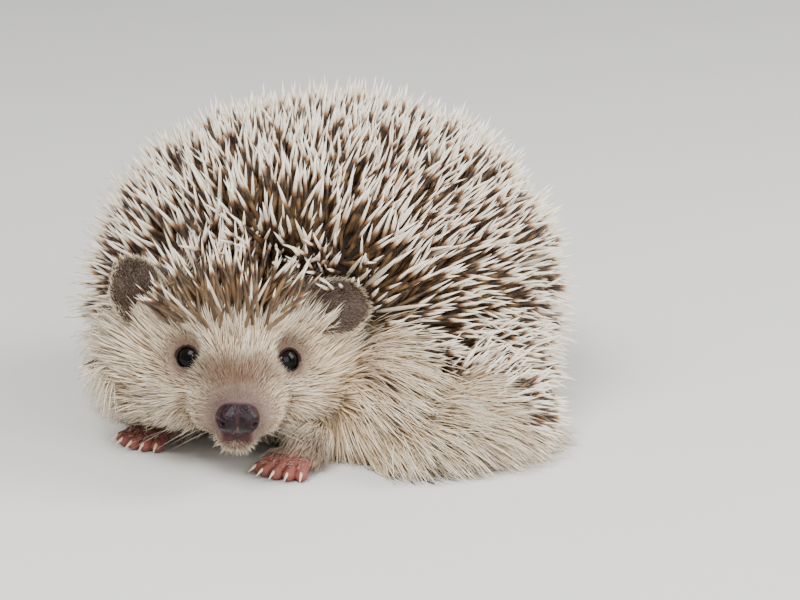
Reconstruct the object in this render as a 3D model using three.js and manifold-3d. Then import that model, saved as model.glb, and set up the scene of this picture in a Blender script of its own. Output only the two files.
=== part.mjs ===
// African pygmy hedgehog, adult, at rest on a floor with its face turned to its left.
// Units are millimetres. +Z is up, the floor is z = 0, the head end points to -Y and the
// animal's own left is +X. The origin lies under the middle of the animal's bounding box.
//
// The animal is described once, as distance functions for the body under the coat and for
// the depth of the coat over it. Every furred part is a piece of that one shape, so the
// parts meet along clean seams with a small gap between neighbours.

import * as THREE from 'three';
import Module from 'manifold-3d';

const wasm = await Module();
wasm.setup();

// ---------------------------------------------------------------- driving dimensions

const GAP = 0.3;                    // clear space between neighbouring parts
const ORIGIN = [6.8, -2.7];         // middle of the bounding box in the modelling frame

// Trunk, without coat
const TRUNK_CENTRE = [0, 0, 20];    // widest level of the back
const TRUNK_HALF_WIDTH = 37.5;
const TRUNK_HALF_LENGTH = 42.5;
const TRUNK_ABOVE = 36;             // from the widest level to the top of the back
const TRUNK_BELOW = 32;             // from the widest level to the virtual bottom
const TRUNK_FULLNESS = 2.3;         // 2 is an ellipsoid, more is boxier
const HAUNCH_CENTRE = [26, 6, 9];   // folded hind leg, mirrored left and right
const HAUNCH_SIZE = [19, 22, 12];
const FLANK_FOLD_CENTRE = [46, -5, 4];    // skin bunched up on the side the body bends to
const FLANK_FOLD_SIZE = [15, 17, 9];
const SHOULDER_CENTRE = [36, -17, 10];    // top of the foreleg on that side
const SHOULDER_SIZE = [9.5, 10, 11];
const CHEST_ARCH_CENTRE = [20, -51, 0];   // open space under the chest, around the forefeet
const CHEST_ARCH_SIZE = [29, 18, 8];
const BELLY_LEVEL = 2;              // lowest skin over the floor
const FRINGE_LEVEL = 0.9;           // lowest fur over the floor

// Head, in its own frame: across to the animal's left, forward to the nose, up.
const EYE_MIDPOINT = [28.2, -45.0, 22];
const HEAD_TURN = 53;               // degrees to the animal's left of straight ahead
const HEAD_PITCH = 5;               // nose down
const HEAD_ROLL = 2.5;              // left side down
const EYE_SIDE = 8.8;               // each eye's centre from the midline
const EYE_RADIUS = 3.1;
const NOSE_CENTRE = [0, 18.6, -5.2];
const NECK_BASE = [9, -18, 22];     // where the neck joins the shoulders
const HOOD_CENTRE = [0, 12, 0];     // the face sits in a bowl in the front of the mantle
const HOOD_SIZE = [34, 39, 27];

// Coat depth over the skin
const FACE_FUR = 1.2;               // on the muzzle
const FLANK_FUR = 6.2;              // on cheeks, flanks and haunches
const QUILLS_FRONT = 3.5;           // quill tips over the skin at the lower edge of the quills
const QUILLS_BACK = 10;             // quill tips over the skin on the crown and back

const EAR_FUR = 1.5;                // at the foot of the ears

// Ears: root in the head frame, then how far the blade leans out and forward (degrees)
const EAR = { width: 13, height: 13, cup: 3.0, thick: 1.3 };
const EAR_LEFT = { root: [13.2, -9.5, 7.5], out: 80, lean: 14, spin: 38 };
const EAR_RIGHT = { root: [-19.5, -11.0, 5.2], out: 16, lean: 16, spin: -38 };
const EAR_HOLLOWS = [[18.6, -8, 8], [-21.5, -8, 10]];

// Feet: middle of the sole and heading (degrees to the animal's left of straight ahead)
const FOOT_FRONT_LEFT = { at: [37.6, -37.0], heading: 18 };
const FOOT_FRONT_RIGHT = { at: [4.0, -46.0], heading: 10 };
const FOOT_HIND_LEFT = { at: [30, 3], heading: 8 };
const FOOT_HIND_RIGHT = { at: [-30, 3], heading: -8 };
const FORELEG = { wrist: [0, -1.5, 5], elbow: [-5, -14, 8.5], thick: 4.8, thin: 3.5 };
const THIGH = { centre: [37, 8, 6], size: [21, 21, 14] };
const FRONT_FOOT = { palm: [4.1, 5.4, 2.8], toes: 5, fan: 50, toe: 5.2, toeRadius: 1.45, claw: 1.9 };
const HIND_FOOT = { palm: [4.2, 10.0, 3.0], toes: 4, fan: 40, toe: 6.2, toeRadius: 1.5, claw: 2.2 };

const TAIL = { root: [0, 38, 8], tip: [0, 57.5, 3.4], thick: 3.6, thin: 1.7 };

// ---------------------------------------------------------------- small vector helpers

const add = (a, b) => [a[0] + b[0], a[1] + b[1], a[2] + b[2]];
const sub = (a, b) => [a[0] - b[0], a[1] - b[1], a[2] - b[2]];
const dot = (a, b) => a[0] * b[0] + a[1] * b[1] + a[2] * b[2];
const scale = (a, k) => [a[0] * k, a[1] * k, a[2] * k];
const length = (a) => Math.hypot(a[0], a[1], a[2]);
const unit = (a) => scale(a, 1 / length(a));
const cross = (a, b) => [
  a[1] * b[2] - a[2] * b[1], a[2] * b[0] - a[0] * b[2], a[0] * b[1] - a[1] * b[0],
];
const radians = (d) => d * Math.PI / 180;
const mirror = (p) => [Math.abs(p[0]), p[1], p[2]];
const clamp01 = (t) => Math.min(1, Math.max(0, t));

// A frame has three axes (across, forward, up) and an origin.
function toFrame(frame, p) {
  const d = sub(p, frame.origin);
  return [dot(d, frame.across), dot(d, frame.forward), dot(d, frame.up)];
}

function fromFrame(frame, h) {
  const q = add(scale(frame.across, h[0]), scale(frame.forward, h[1]));
  return add(frame.origin, add(q, scale(frame.up, h[2])));
}

// Turn is to the animal's left of straight ahead, pitch is forward end down, roll is left down.
function makeFrame(origin, turn, pitch = 0, roll = 0) {
  const [t, p, r] = [turn, pitch, roll].map(radians);
  const level = [Math.sin(t), -Math.cos(t), 0];
  const side = [Math.cos(t), Math.sin(t), 0];
  const forward = add(scale(level, Math.cos(p)), [0, 0, -Math.sin(p)]);
  const upright = add(scale(level, Math.sin(p)), [0, 0, Math.cos(p)]);
  const across = sub(scale(side, Math.cos(r)), scale(upright, Math.sin(r)));
  const up = add(scale(upright, Math.cos(r)), scale(side, Math.sin(r)));
  return { origin, across, forward, up };
}

const HEAD = makeFrame(EYE_MIDPOINT, HEAD_TURN, HEAD_PITCH, HEAD_ROLL);

// ---------------------------------------------------------------- distance functions

function smoothStep(x, from, to) {
  const t = clamp01((x - from) / (to - from));
  return t * t * (3 - 2 * t);
}

// Union of two shapes with a fillet about k wide.
function blend(a, b, k) {
  const h = clamp01(0.5 + 0.5 * (b - a) / k);
  return b + (a - b) * h - k * h * (1 - h);
}

function blendAll(k, ...parts) {
  return parts.reduce((a, b) => blend(a, b, k));
}

// Common part of two shapes with a rounded edge.
const trim = (a, b, k) => -blend(-a, -b, k);

function ellipsoid(p, centre, size) {
  const q = sub(p, centre);
  const a = Math.hypot(q[0] / size[0], q[1] / size[1], q[2] / size[2]);
  const b = Math.hypot(q[0] / size[0] ** 2, q[1] / size[1] ** 2, q[2] / size[2] ** 2);
  return a * (a - 1) / (b + 1e-9);
}

// Tapering limb with round ends.
function limb(p, from, to, startRadius, endRadius) {
  const axis = sub(to, from);
  const t = clamp01(dot(sub(p, from), axis) / dot(axis, axis));
  const radius = startRadius + (endRadius - startRadius) * t;
  return length(sub(p, add(from, scale(axis, t)))) - radius;
}

// Rounded hump that is flatter below its widest level than above it.
function hump(p) {
  const q = sub(p, TRUNK_CENTRE);
  const height = q[2] > 0 ? TRUNK_ABOVE : TRUNK_BELOW;
  const size = [TRUNK_HALF_WIDTH, TRUNK_HALF_LENGTH, height];
  const r = q.map((v, i) => Math.abs(v) / size[i] + 1e-9);
  const n = TRUNK_FULLNESS;
  const k = (r[0] ** n + r[1] ** n + r[2] ** n) ** (1 / n);
  const slope = r.map((v, i) => (v / k) ** (n - 1) / size[i]);
  return (k - 1) / (length(slope) + 1e-9);
}

// ---------------------------------------------------------------- the body without coat

const chestArch = (p) => ellipsoid(p, CHEST_ARCH_CENTRE, CHEST_ARCH_SIZE);
const hood = (p) => ellipsoid(toFrame(HEAD, p), HOOD_CENTRE, HOOD_SIZE);

function trunkSkin(p) {
  const haunch = ellipsoid(mirror(p), HAUNCH_CENTRE, HAUNCH_SIZE);
  const back = trim(hump(p), -hood(p), 6);
  const fold = ellipsoid(p, FLANK_FOLD_CENTRE, FLANK_FOLD_SIZE);
  return trim(blendAll(6, back, haunch, fold), BELLY_LEVEL - p[2], 5);
}

function headSkin(p) {
  const h = toFrame(HEAD, p);
  const m = mirror(h);
  const cranium = ellipsoid(h, [0, -13, -1], [14.5, 16.5, 11.5]);
  const cheek = ellipsoid(m, [9.5, -8, -6], [8.5, 12, 9]);
  const muzzle = limb(h, [0, -2, -3.5], [0, 16.5, -5.2], 9.3, 4.0);
  const whiskerPad = ellipsoid(m, [4.0, 8.5, -7], [4.2, 7.5, 3.8]);
  const jaw = limb(h, [0, -6, -11.5], [0, 12, -9.8], 6, 2.6);
  const skull = blendAll(5, cranium, cheek, muzzle);
  return blendAll(3, skull, whiskerPad, jaw);
}

function skin(p) {
  const h = toFrame(HEAD, p);
  const collar = ellipsoid(h, [-0.8, -14, -5], [24.2, 12, 15]);
  const neck = limb(p, fromFrame(HEAD, [0, -17, -3]), NECK_BASE, 10, 18);
  const shoulder = ellipsoid(p, SHOULDER_CENTRE, SHOULDER_SIZE);
  const rear = blendAll(6, trunkSkin(p), neck, collar, shoulder);
  return trim(blend(rear, headSkin(p), 6.5), 1.5 - chestArch(p), 3);
}

// How far behind the hairline of the forehead a point of the head frame lies.
const pastBrow = (h) => -h[1] + 0.55 * (h[2] - 8) - 0.022 * h[0] ** 2;

// Depth of the coat: short on the face, long on the flank, deepest where quills grow.
function coatDepth(p) {
  const h = toFrame(HEAD, p);
  const face = smoothStep(h[1], -15, 2);
  const bareNose = smoothStep(length(sub(h, NOSE_CENTRE)), 4, 8);
  const bareEye = smoothStep(length(sub(mirror(h), [EYE_SIDE, 0, 0])), 3.4, 6.5);
  const fur = (FLANK_FUR + (FACE_FUR - FLANK_FUR) * face) * bareNose * bareEye;
  const rim = hood(p);
  const brow = pastBrow(h);
  const between = 1 - smoothStep(Math.abs(h[0]), 12, 17);
  const crown = smoothStep(brow, -8, -1) * between;
  const dome = smoothStep(rim, -6, 2) * smoothStep(p[2], 24, 34);
  const deep = Math.max(smoothStep(rim, -2, 16), crown, dome);
  const quills = QUILLS_FRONT + (QUILLS_BACK - QUILLS_FRONT) * deep;
  const hairline = smoothStep(brow, -4.5, -0.5) * between * smoothStep(h[2], 3, 5.5);
  const mantle = Math.max(smoothStep(rim, -5, -1), hairline);
  const full = fur + (quills - fur) * mantle * smoothStep(p[2], 4, 14);
  const fromEar = Math.min(...EAR_HOLLOWS.map((c) => length(sub(h, c))));
  return EAR_FUR + (full - EAR_FUR) * Math.max(smoothStep(fromEar, 6, 13), 1 - smoothStep(full, 1, 3));
}

const coat = (p) => trim(
  trim(skin(p) - coatDepth(p), FRINGE_LEVEL - p[2], 1.2), -chestArch(p), 2.5,
);

function nose(p) {
  const h = sub(toFrame(HEAD, p), NOSE_CENTRE);
  const wing = ellipsoid(mirror(h), [1.9, 0, -0.3], [2.3, 2.5, 2.5]);
  const tip = ellipsoid(h, [0, -0.6, 0.7], [2.7, 2.5, 2.3]);
  const nostril = ellipsoid(mirror(h), [2.7, 2.1, 0.1], [0.75, 1.3, 1.0]);
  return Math.max(blend(wing, tip, 1.2), -nostril);
}

// ---------------------------------------------------------------- feet

const footFrame = (foot) => makeFrame([foot.at[0], foot.at[1], 0], foot.heading);

// Toe roots sit in an arc at the front of the palm; the middle toes are the longest.
function toes(shape) {
  return Array.from({ length: shape.toes }, (_, i) => {
    const share = i / (shape.toes - 1) - 0.5;
    const angle = radians(shape.fan * share);
    const reach = shape.toe * (1 - 0.85 * share * share);
    const aim = [Math.sin(angle), Math.cos(angle), 0];
    const root = [shape.palm[0] * 1.45 * share, shape.palm[1] * 0.45, 2.6];
    const tip = add(root, add(scale(aim, reach), [0, 0, -1.15]));
    return { root, tip, aim };
  });
}

// ---------------------------------------------------------------- solids from functions

// Closed mesh of the region where field(p) < 0, with one vertex in each crossed cell.
function polygonise(field, low, high, step) {
  const count = low.map((v, i) => Math.ceil((high[i] - v) / step) + 1);
  const [nx, ny, nz] = count;
  const node = (i, j, k) => (k * ny + j) * nx + i;
  const value = new Float64Array(nx * ny * nz);
  for (let k = 0; k < nz; k += 1) {
    for (let j = 0; j < ny; j += 1) {
      for (let i = 0; i < nx; i += 1) {
        const border = i === 0 || j === 0 || k === 0 || i === nx - 1 || j === ny - 1 || k === nz - 1;
        const v = field([low[0] + i * step, low[1] + j * step, low[2] + k * step]);
        value[node(i, j, k)] = border ? Math.max(v, 0.01 * step) : v;
      }
    }
  }
  const corners = [0, 1, 2, 3, 4, 5, 6, 7].map((c) => [c & 1, (c >> 1) & 1, (c >> 2) & 1]);
  const edges = [];
  for (let a = 0; a < 8; a += 1) {
    for (let axis = 0; axis < 3; axis += 1) {
      if (corners[a][axis] === 0) edges.push([a, a | (1 << axis)]);
    }
  }
  const vertexOf = new Map();
  const positions = [];
  for (let k = 0; k < nz - 1; k += 1) {
    for (let j = 0; j < ny - 1; j += 1) {
      for (let i = 0; i < nx - 1; i += 1) {
        const v = corners.map((c) => value[node(i + c[0], j + c[1], k + c[2])]);
        const inside = v.filter((x) => x < 0).length;
        if (inside === 0 || inside === 8) continue;
        let sum = [0, 0, 0];
        let crossings = 0;
        for (const [a, b] of edges) {
          if ((v[a] < 0) === (v[b] < 0)) continue;
          const t = v[a] / (v[a] - v[b]);
          sum = add(sum, add(corners[a], scale(sub(corners[b], corners[a]), t)));
          crossings += 1;
        }
        const cell = add([i, j, k], scale(sum, 1 / crossings));
        vertexOf.set(node(i, j, k), positions.length / 3);
        positions.push(low[0] + cell[0] * step, low[1] + cell[1] * step, low[2] + cell[2] * step);
      }
    }
  }
  const indices = [];
  for (let k = 0; k < nz - 1; k += 1) {
    for (let j = 0; j < ny - 1; j += 1) {
      for (let i = 0; i < nx - 1; i += 1) {
        const here = value[node(i, j, k)] < 0;
        for (let axis = 0; axis < 3; axis += 1) {
          const next = [i, j, k];
          if (next[(axis + 1) % 3] === 0 || next[(axis + 2) % 3] === 0) continue;
          next[axis] += 1;
          const there = value[node(...next)] < 0;
          if (here === there) continue;
          const u = [0, 0, 0];
          const w = [0, 0, 0];
          u[(axis + 1) % 3] = 1;
          w[(axis + 2) % 3] = 1;
          const at = (a, b) => vertexOf.get(node(
            i - a * u[0] - b * w[0], j - a * u[1] - b * w[1], k - a * u[2] - b * w[2],
          ));
          const quad = [at(1, 1), at(0, 1), at(0, 0), at(1, 0)];
          if (!here) quad.reverse();
          indices.push(quad[0], quad[1], quad[2], quad[0], quad[2], quad[3]);
        }
      }
    }
  }
  return solid(new Float32Array(positions), new Uint32Array(indices));
}

function solid(vertProperties, triVerts) {
  const mesh = new wasm.Mesh({ numProp: 3, vertProperties, triVerts });
  mesh.merge();
  return new wasm.Manifold(mesh);
}

function solidFromGeometry(geometry) {
  const plain = geometry.clone();
  const index = plain.index ? plain.index.array : plain.attributes.position.array.map((_, i) => i);
  return solid(new Float32Array(plain.attributes.position.array), new Uint32Array(index));
}

// Everything on the far side of a plane: n . p > offset, in the given frame.
function halfSpace(frame, n, offset) {
  const size = 300;
  const normal = unit(sub(fromFrame(frame, n), frame.origin));
  const point = add(frame.origin, scale(normal, offset));
  const box = new THREE.BoxGeometry(size, size, size);
  box.translate(0, 0, size / 2);
  const turn = new THREE.Quaternion().setFromUnitVectors(
    new THREE.Vector3(0, 0, 1), new THREE.Vector3(...normal),
  );
  box.applyQuaternion(turn);
  box.translate(...point);
  return solidFromGeometry(box);
}

function egg(centre, size, around, down, frame = null) {
  const sphere = new THREE.SphereGeometry(1, around, down);
  sphere.scale(...size);
  if (frame) {
    // The frame is left-handed, so its first axis is taken backwards to keep the faces out.
    const axes = [scale(frame.across, -1), frame.forward, frame.up];
    sphere.applyMatrix4(new THREE.Matrix4().makeBasis(...axes.map((v) => new THREE.Vector3(...v))));
    sphere.translate(...fromFrame(frame, centre));
  } else {
    sphere.translate(...centre);
  }
  return solidFromGeometry(sphere);
}

// Closed tube through a list of rings that all have the same number of points.
function loft(rings) {
  const m = rings[0].length;
  const middle = (ring) => scale(ring.reduce(add), 1 / m);
  const points = [...rings.flat(), middle(rings[0]), middle(rings[rings.length - 1])];
  const first = rings.length * m;
  const indices = [];
  for (let r = 0; r + 1 < rings.length; r += 1) {
    for (let i = 0; i < m; i += 1) {
      const j = (i + 1) % m;
      const [a, b, c, d] = [r * m + i, r * m + j, (r + 1) * m + j, (r + 1) * m + i];
      indices.push(a, c, b, a, d, c);
    }
  }
  for (let i = 0; i < m; i += 1) {
    const j = (i + 1) % m;
    const top = (rings.length - 1) * m;
    indices.push(first, i, j, first + 1, top + j, top + i);
  }
  return solid(new Float32Array(points.flat()), new Uint32Array(indices));
}

// Straight tapering tube with flat ends, longer and thicker than asked by the given margin.
function tube(from, to, startRadius, endRadius, margin = 0, around = 10, rows = 4) {
  const axis = unit(sub(to, from));
  const side = unit(cross([0, 0, 1], axis));
  const top = cross(axis, side);
  const start = sub(from, scale(axis, margin));
  const reach = length(sub(to, from)) + 2 * margin;
  return loft(Array.from({ length: rows + 1 }, (_, r) => {
    const t = r / rows;
    const rounding = Math.sqrt(1 - 0.75 * Math.max(0, (t - 0.75) / 0.25) ** 2);
    const radius = (startRadius + (endRadius - startRadius) * t + margin) * rounding;
    return Array.from({ length: around }, (_, i) => {
      const a = 2 * Math.PI * i / around;
      const offset = add(scale(side, radius * Math.cos(a)), scale(top, -radius * Math.sin(a)));
      return add(add(start, scale(axis, t * reach)), offset);
    });
  }));
}

// ---------------------------------------------------------------- ears and claws

// A cupped leaf: narrow at the root, round at the tip, hollow side facing forward.
function earSolid(side, ear, margin = 0, rows = 8, columns = 6) {
  const lift = radians(ear.out) * side;
  const up = [Math.sin(lift), 0, Math.cos(lift)];
  const lean = radians(ear.lean);
  const axis = unit([up[0] * Math.cos(lean), Math.sin(lean), up[2] * Math.cos(lean)]);
  const spin = radians(ear.spin);
  const flat = unit(cross([0, 1, 0], axis));
  const facing = unit(cross(axis, flat));
  const across = add(scale(flat, Math.cos(spin)), scale(facing, Math.sin(spin)));
  const front = unit(cross(axis, across));
  const rings = [];
  for (let r = 0; r <= rows; r += 1) {
    const t = r / rows;
    const half = EAR.width / 2 * (0.52 + 0.48 * Math.sin(Math.PI * Math.min(1, 0.12 + t * 0.62)))
      * Math.sqrt(Math.max(0.03, 1 - Math.max(0, (t - 0.45) / 0.56) ** 2.4));
    const depth = EAR.cup * (1 - 0.55 * t);
    const thick = EAR.thick * (1 - 0.35 * t);
    const along = t * EAR.height + (2 * t - 1) * margin;
    const centre = add(ear.root, add(scale(axis, along), scale(front, -1.6 * t * t)));
    const ring = [];
    for (let c = 0; c <= 2 * columns + 1; c += 1) {
      const face = c <= columns;
      const s = face ? 2 * c / columns - 1 : 2 * (2 * columns + 1 - c) / columns - 1;
      const x = (half + margin) * s;
      const bowl = depth * (x / half) ** 2 + (face ? margin : -margin - thick * (1 - 0.45 * s * s));
      ring.push(fromFrame(HEAD, add(centre, add(scale(across, x), scale(front, bowl)))));
    }
    rings.push(ring.reverse());
  }
  return loft(rings);
}

// Short, slightly hooked claw that starts a gap's width in front of the toe tip.
function clawSolid(foot, toe, start, reach) {
  const frame = footFrame(foot);
  const sides = 5;
  const stations = 3;
  const rings = [];
  for (let r = 0; r < stations; r += 1) {
    const t = r / (stations - 1);
    const centre = add(toe.tip, add(scale(toe.aim, start + t * reach), [0, 0, 0.5 - t * t]));
    const radius = 0.52 * (1 - 0.62 * t);
    const side = [toe.aim[1], -toe.aim[0], 0];
    rings.push(Array.from({ length: sides }, (_, i) => {
      const a = 2 * Math.PI * i / sides;
      const offset = add(scale(side, -radius * Math.cos(a)), [0, 0, radius * Math.sin(a)]);
      return fromFrame(frame, add(centre, offset));
    }));
  }
  return loft(rings);
}

// ---------------------------------------------------------------- colours and assembly

const COLOURS = {
  quills: 0xb9a68c, fur: 0xeae0cd, face: 0xe6d8c0, nose: 0x3a2228, eye: 0x0c0a0a,
  ear: 0x5a4a44, leg: 0xd8c6aa, paw: 0xc98f84, claw: 0xe8d2b0, tail: 0xb08f7c,
};
const ROUGHNESS = { eye: 0.08, nose: 0.35, claw: 0.4, paw: 0.6 };

const hedgehog = new THREE.Group();
hedgehog.name = 'hedgehog';

function place(name, manifold, kind) {
  const data = manifold.getMesh();
  const geometry = new THREE.BufferGeometry();
  const stride = data.numProp;
  const points = new Float32Array(data.vertProperties.length / stride * 3);
  for (let i = 0; i < points.length / 3; i += 1) {
    points[3 * i] = data.vertProperties[i * stride] - ORIGIN[0];
    points[3 * i + 1] = data.vertProperties[i * stride + 1] - ORIGIN[1];
    points[3 * i + 2] = data.vertProperties[i * stride + 2];
  }
  geometry.setAttribute('position', new THREE.BufferAttribute(points, 3));
  geometry.setIndex(new THREE.BufferAttribute(new Uint32Array(data.triVerts), 1));
  geometry.computeVertexNormals();
  const material = new THREE.MeshStandardMaterial({
    color: COLOURS[kind], roughness: ROUGHNESS[kind] ?? 0.9, name: `${kind}_surface`,
  });
  const mesh = new THREE.Mesh(geometry, material);
  mesh.name = name;
  hedgehog.add(mesh);
}

// Head and neck fill an egg set in the front of the trunk; a leaning plane divides the two.
const FRONT_EGG = { centre: [0, -4, -2], size: [32, 29, 24] };
const FACE_PLANE = { normal: [0, Math.cos(radians(25)), -Math.sin(radians(25))], offset: -9 };
const ahead = (plane) => halfSpace(HEAD, plane.normal, plane.offset);
const behind = (plane) => halfSpace(HEAD, scale(plane.normal, -1), GAP - plane.offset);

// Parts that other parts are cut around.
const sides = [
  { name: 'left', sign: 1, ear: EAR_LEFT, front: FOOT_FRONT_LEFT, hind: FOOT_HIND_LEFT },
  { name: 'right', sign: -1, ear: EAR_RIGHT, front: FOOT_FRONT_RIGHT, hind: FOOT_HIND_RIGHT },
];

const floorBlock = solidFromGeometry(new THREE.BoxGeometry(400, 400, 20).translate(0, 0, -10));

// A foot is a palm and its toes joined, cut off flat at the floor. The margin grows it.
function footSolid(foot, shape, margin) {
  const frame = footFrame(foot);
  const grown = shape.palm.map((v) => v + margin);
  const palm = egg([0, 0, shape.palm[2] - 0.5], grown, 10, 6, frame);
  const digits = toes(shape).map((toe) => {
    const [from, to] = [toe.root, add(toe.tip, scale(toe.aim, shape.toeRadius))];
    const [thick, thin] = [shape.toeRadius, shape.toeRadius * 0.85];
    return tube(fromFrame(frame, from), fromFrame(frame, to), thick, thin, margin, 6, 3);
  });
  const whole = digits.reduce((joined, digit) => joined.add(digit), palm);
  return margin > 0 ? whole : whole.subtract(floorBlock);
}

// The foot, the close room that the leg leaves around it, and the hollow in the coat over it.
function footSolids(foot, shape) {
  const size = [shape.palm[0] + 5, (shape.palm[1] * 2 + shape.toe) / 2 + 3.2, shape.palm[2] + 3.6];
  return {
    own: footSolid(foot, shape, 0),
    room: footSolid(foot, shape, GAP),
    hollow: egg([0, shape.toe / 2 + 0.5, 1], size, 10, 6, footFrame(foot)),
  };
}

for (const side of sides) {
  side.frontFoot = footSolids(side.front, FRONT_FOOT);
  side.hindFoot = footSolids(side.hind, HIND_FOOT);
  const [out, back, up] = THIGH.centre;
  side.thigh = (grow) => egg([side.sign * out, back, up], THIGH.size.map((v) => v + grow), 16, 10);
}

// Boxes that hold each region, and the size of the cells that its mesh is made from.
const BODY = { low: [-62, -68, -3.1], high: [72, 66, 76], cell: 8.6 };
const NECK = { low: [-20, -75, -2.9], high: [66, 12, 70], cell: 7.2 };
const FACE = { low: [-8, -80, -2.2], high: [66, -8, 62], cell: 3.5 };
const NOSE_CELL = 1.25;
const SEAT_CELL = 1.6;
const coatIn = (region) => polygonise(coat, region.low, region.high, region.cell);

// Trunk: the quilled back and flanks, cut around hind legs, feet, forelegs and tail.
const frontEgg = (grow) => egg(FRONT_EGG.centre, FRONT_EGG.size.map((v) => v + grow), 20, 12, HEAD);
let trunk = coatIn(BODY).subtract(frontEgg(GAP));
let neck = coatIn(NECK).intersect(frontEgg(0)).intersect(behind(FACE_PLANE));
let head = coatIn(FACE).intersect(frontEgg(0)).intersect(ahead(FACE_PLANE));

const tailSolid = (margin) => tube(TAIL.root, TAIL.tip, TAIL.thick, TAIL.thin, margin);
trunk = trunk.subtract(tailSolid(GAP));

function foreleg(side, margin) {
  const [inward, back, up] = FORELEG.elbow;
  const wrist = fromFrame(footFrame(side.front), FORELEG.wrist);
  const elbow = fromFrame(footFrame(side.front), [inward * side.sign, back, up]);
  return tube(elbow, wrist, FORELEG.thick, FORELEG.thin, margin, 8, 3);
}

for (const side of sides) {
  side.thighSolid = trunk.intersect(side.thigh(0)).subtract(side.hindFoot.hollow);
}
for (const side of sides) {
  trunk = trunk.subtract(side.thigh(GAP)).subtract(side.hindFoot.hollow);
  const rooms = [earSolid(side.sign, side.ear, 2 * GAP), foreleg(side, GAP), side.frontFoot.hollow];
  for (const room of rooms) {
    trunk = trunk.subtract(room);
    neck = neck.subtract(room);
    head = head.subtract(room);
  }
  neck = neck.subtract(side.thigh(GAP));
}

// Head: sockets for the eyes, seat for the nose.
function eyeBall(side, radius) {
  return egg(fromFrame(HEAD, [side.sign * EYE_SIDE, 0, 0]), [radius, radius, radius], 12, 8);
}
for (const side of sides) head = head.subtract(eyeBall(side, EYE_RADIUS + GAP));
const noseMiddle = fromFrame(HEAD, NOSE_CENTRE);
const noseBox = (margin) => [
  noseMiddle.map((v) => v - 5 - margin), noseMiddle.map((v) => v + 5 + margin),
];
head = head.subtract(polygonise((p) => nose(p) - GAP, ...noseBox(1), SEAT_CELL));

place('trunk', trunk, 'quills');
place('neck', neck, 'fur');
place('head', head, 'face');
place('nose', polygonise(nose, ...noseBox(0), NOSE_CELL), 'nose');

for (const side of sides) {
  place(`eye_${side.name}`, eyeBall(side, EYE_RADIUS), 'eye');
  place(`ear_${side.name}`, earSolid(side.sign, side.ear), 'ear');
}

for (const side of sides) {
  const cut = foreleg(side, 0).subtract(side.frontFoot.room);
  place(`leg_front_${side.name}`, cut, 'leg');
  place(`foot_front_${side.name}`, side.frontFoot.own, 'paw');
  place(`leg_hind_${side.name}`, side.thighSolid, 'fur');
  place(`foot_hind_${side.name}`, side.hindFoot.own, 'paw');
  toes(FRONT_FOOT).forEach((toe, i) => {
    const start = FRONT_FOOT.toeRadius * 0.85 + GAP;
    const claw = clawSolid(side.front, toe, start, FRONT_FOOT.claw);
    place(`claw_front_${side.name}_${i + 1}`, claw, 'claw');
  });
  toes(HIND_FOOT).forEach((toe, i) => {
    const start = HIND_FOOT.toeRadius * 0.85 + GAP;
    const claw = clawSolid(side.hind, toe, start, HIND_FOOT.claw);
    place(`claw_hind_${side.name}_${i + 1}`, claw, 'claw');
  });
}

place('tail', tailSolid(0), 'tail');

export default hedgehog;
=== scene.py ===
# %% [markdown]
# # An African pygmy hedgehog, crouched with its face turned
#
# The animal is a still, life-size model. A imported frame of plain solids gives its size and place.
# This lesson dresses that frame: one continuous skin, wet eyes, horn claws, a mantle of banded
# quills, and a coat of fine fur. Everything is measured in millimetres while it is shaped, and
# becomes metres at the moment a mesh is made, because the frame is in metres.

import bpy
import numpy as np
import openvdb
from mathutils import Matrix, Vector


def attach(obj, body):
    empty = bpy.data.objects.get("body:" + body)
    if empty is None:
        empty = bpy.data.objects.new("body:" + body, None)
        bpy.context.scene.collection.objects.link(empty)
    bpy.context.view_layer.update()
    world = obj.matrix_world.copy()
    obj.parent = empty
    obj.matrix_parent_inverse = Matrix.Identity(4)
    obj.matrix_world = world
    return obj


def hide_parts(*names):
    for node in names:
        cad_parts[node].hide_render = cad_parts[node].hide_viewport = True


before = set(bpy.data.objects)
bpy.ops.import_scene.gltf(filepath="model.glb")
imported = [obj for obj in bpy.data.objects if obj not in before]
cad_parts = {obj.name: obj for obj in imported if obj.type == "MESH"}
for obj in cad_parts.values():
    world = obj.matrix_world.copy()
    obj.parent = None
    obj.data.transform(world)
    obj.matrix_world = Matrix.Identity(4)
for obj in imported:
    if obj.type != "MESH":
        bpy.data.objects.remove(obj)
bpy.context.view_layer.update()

# %% [markdown]
# ## The animal as a function
#
# A body with no hard edges could be sculpted by hand or built from subdivision surfaces, but then
# its proportions would be hidden in a list of points. Here it is a distance function instead: each
# part of the animal is a simple round shape, and soft unions fuse them as flesh does. The function
# says how far any point is from the skin, so it also gives the skin's normals, and it tells the
# coat where it is. Lengths are millimetres. +Z is up, the front of the body faces -Y, and the
# animal's own left is +X.

# %% Units, and the place of the head
MM = 0.001                                  # one millimetre in metres
ORIGIN = np.array([6.8, -2.7, 0.0])         # the frame's origin in the animal's own coordinates
EYE_MIDPOINT = [28.2, -45.0, 22.0]          # halfway between the eyes
HEAD_TURN, HEAD_PITCH, HEAD_ROLL = 53, 5, 2.5
EYE_SIDE, EYE_RADIUS = 8.8, 3.1
EYE = [EYE_SIDE, 0, 0]                      # middle of the left eyeball, in the head's frame
NOSE_CENTRE = np.array([0, 18.6, -5.2])     # also in the head's frame


def unit(v):
    v = np.asarray(v, float)
    return v / np.maximum(np.linalg.norm(v, axis=-1, keepdims=True), 1e-12)


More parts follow.
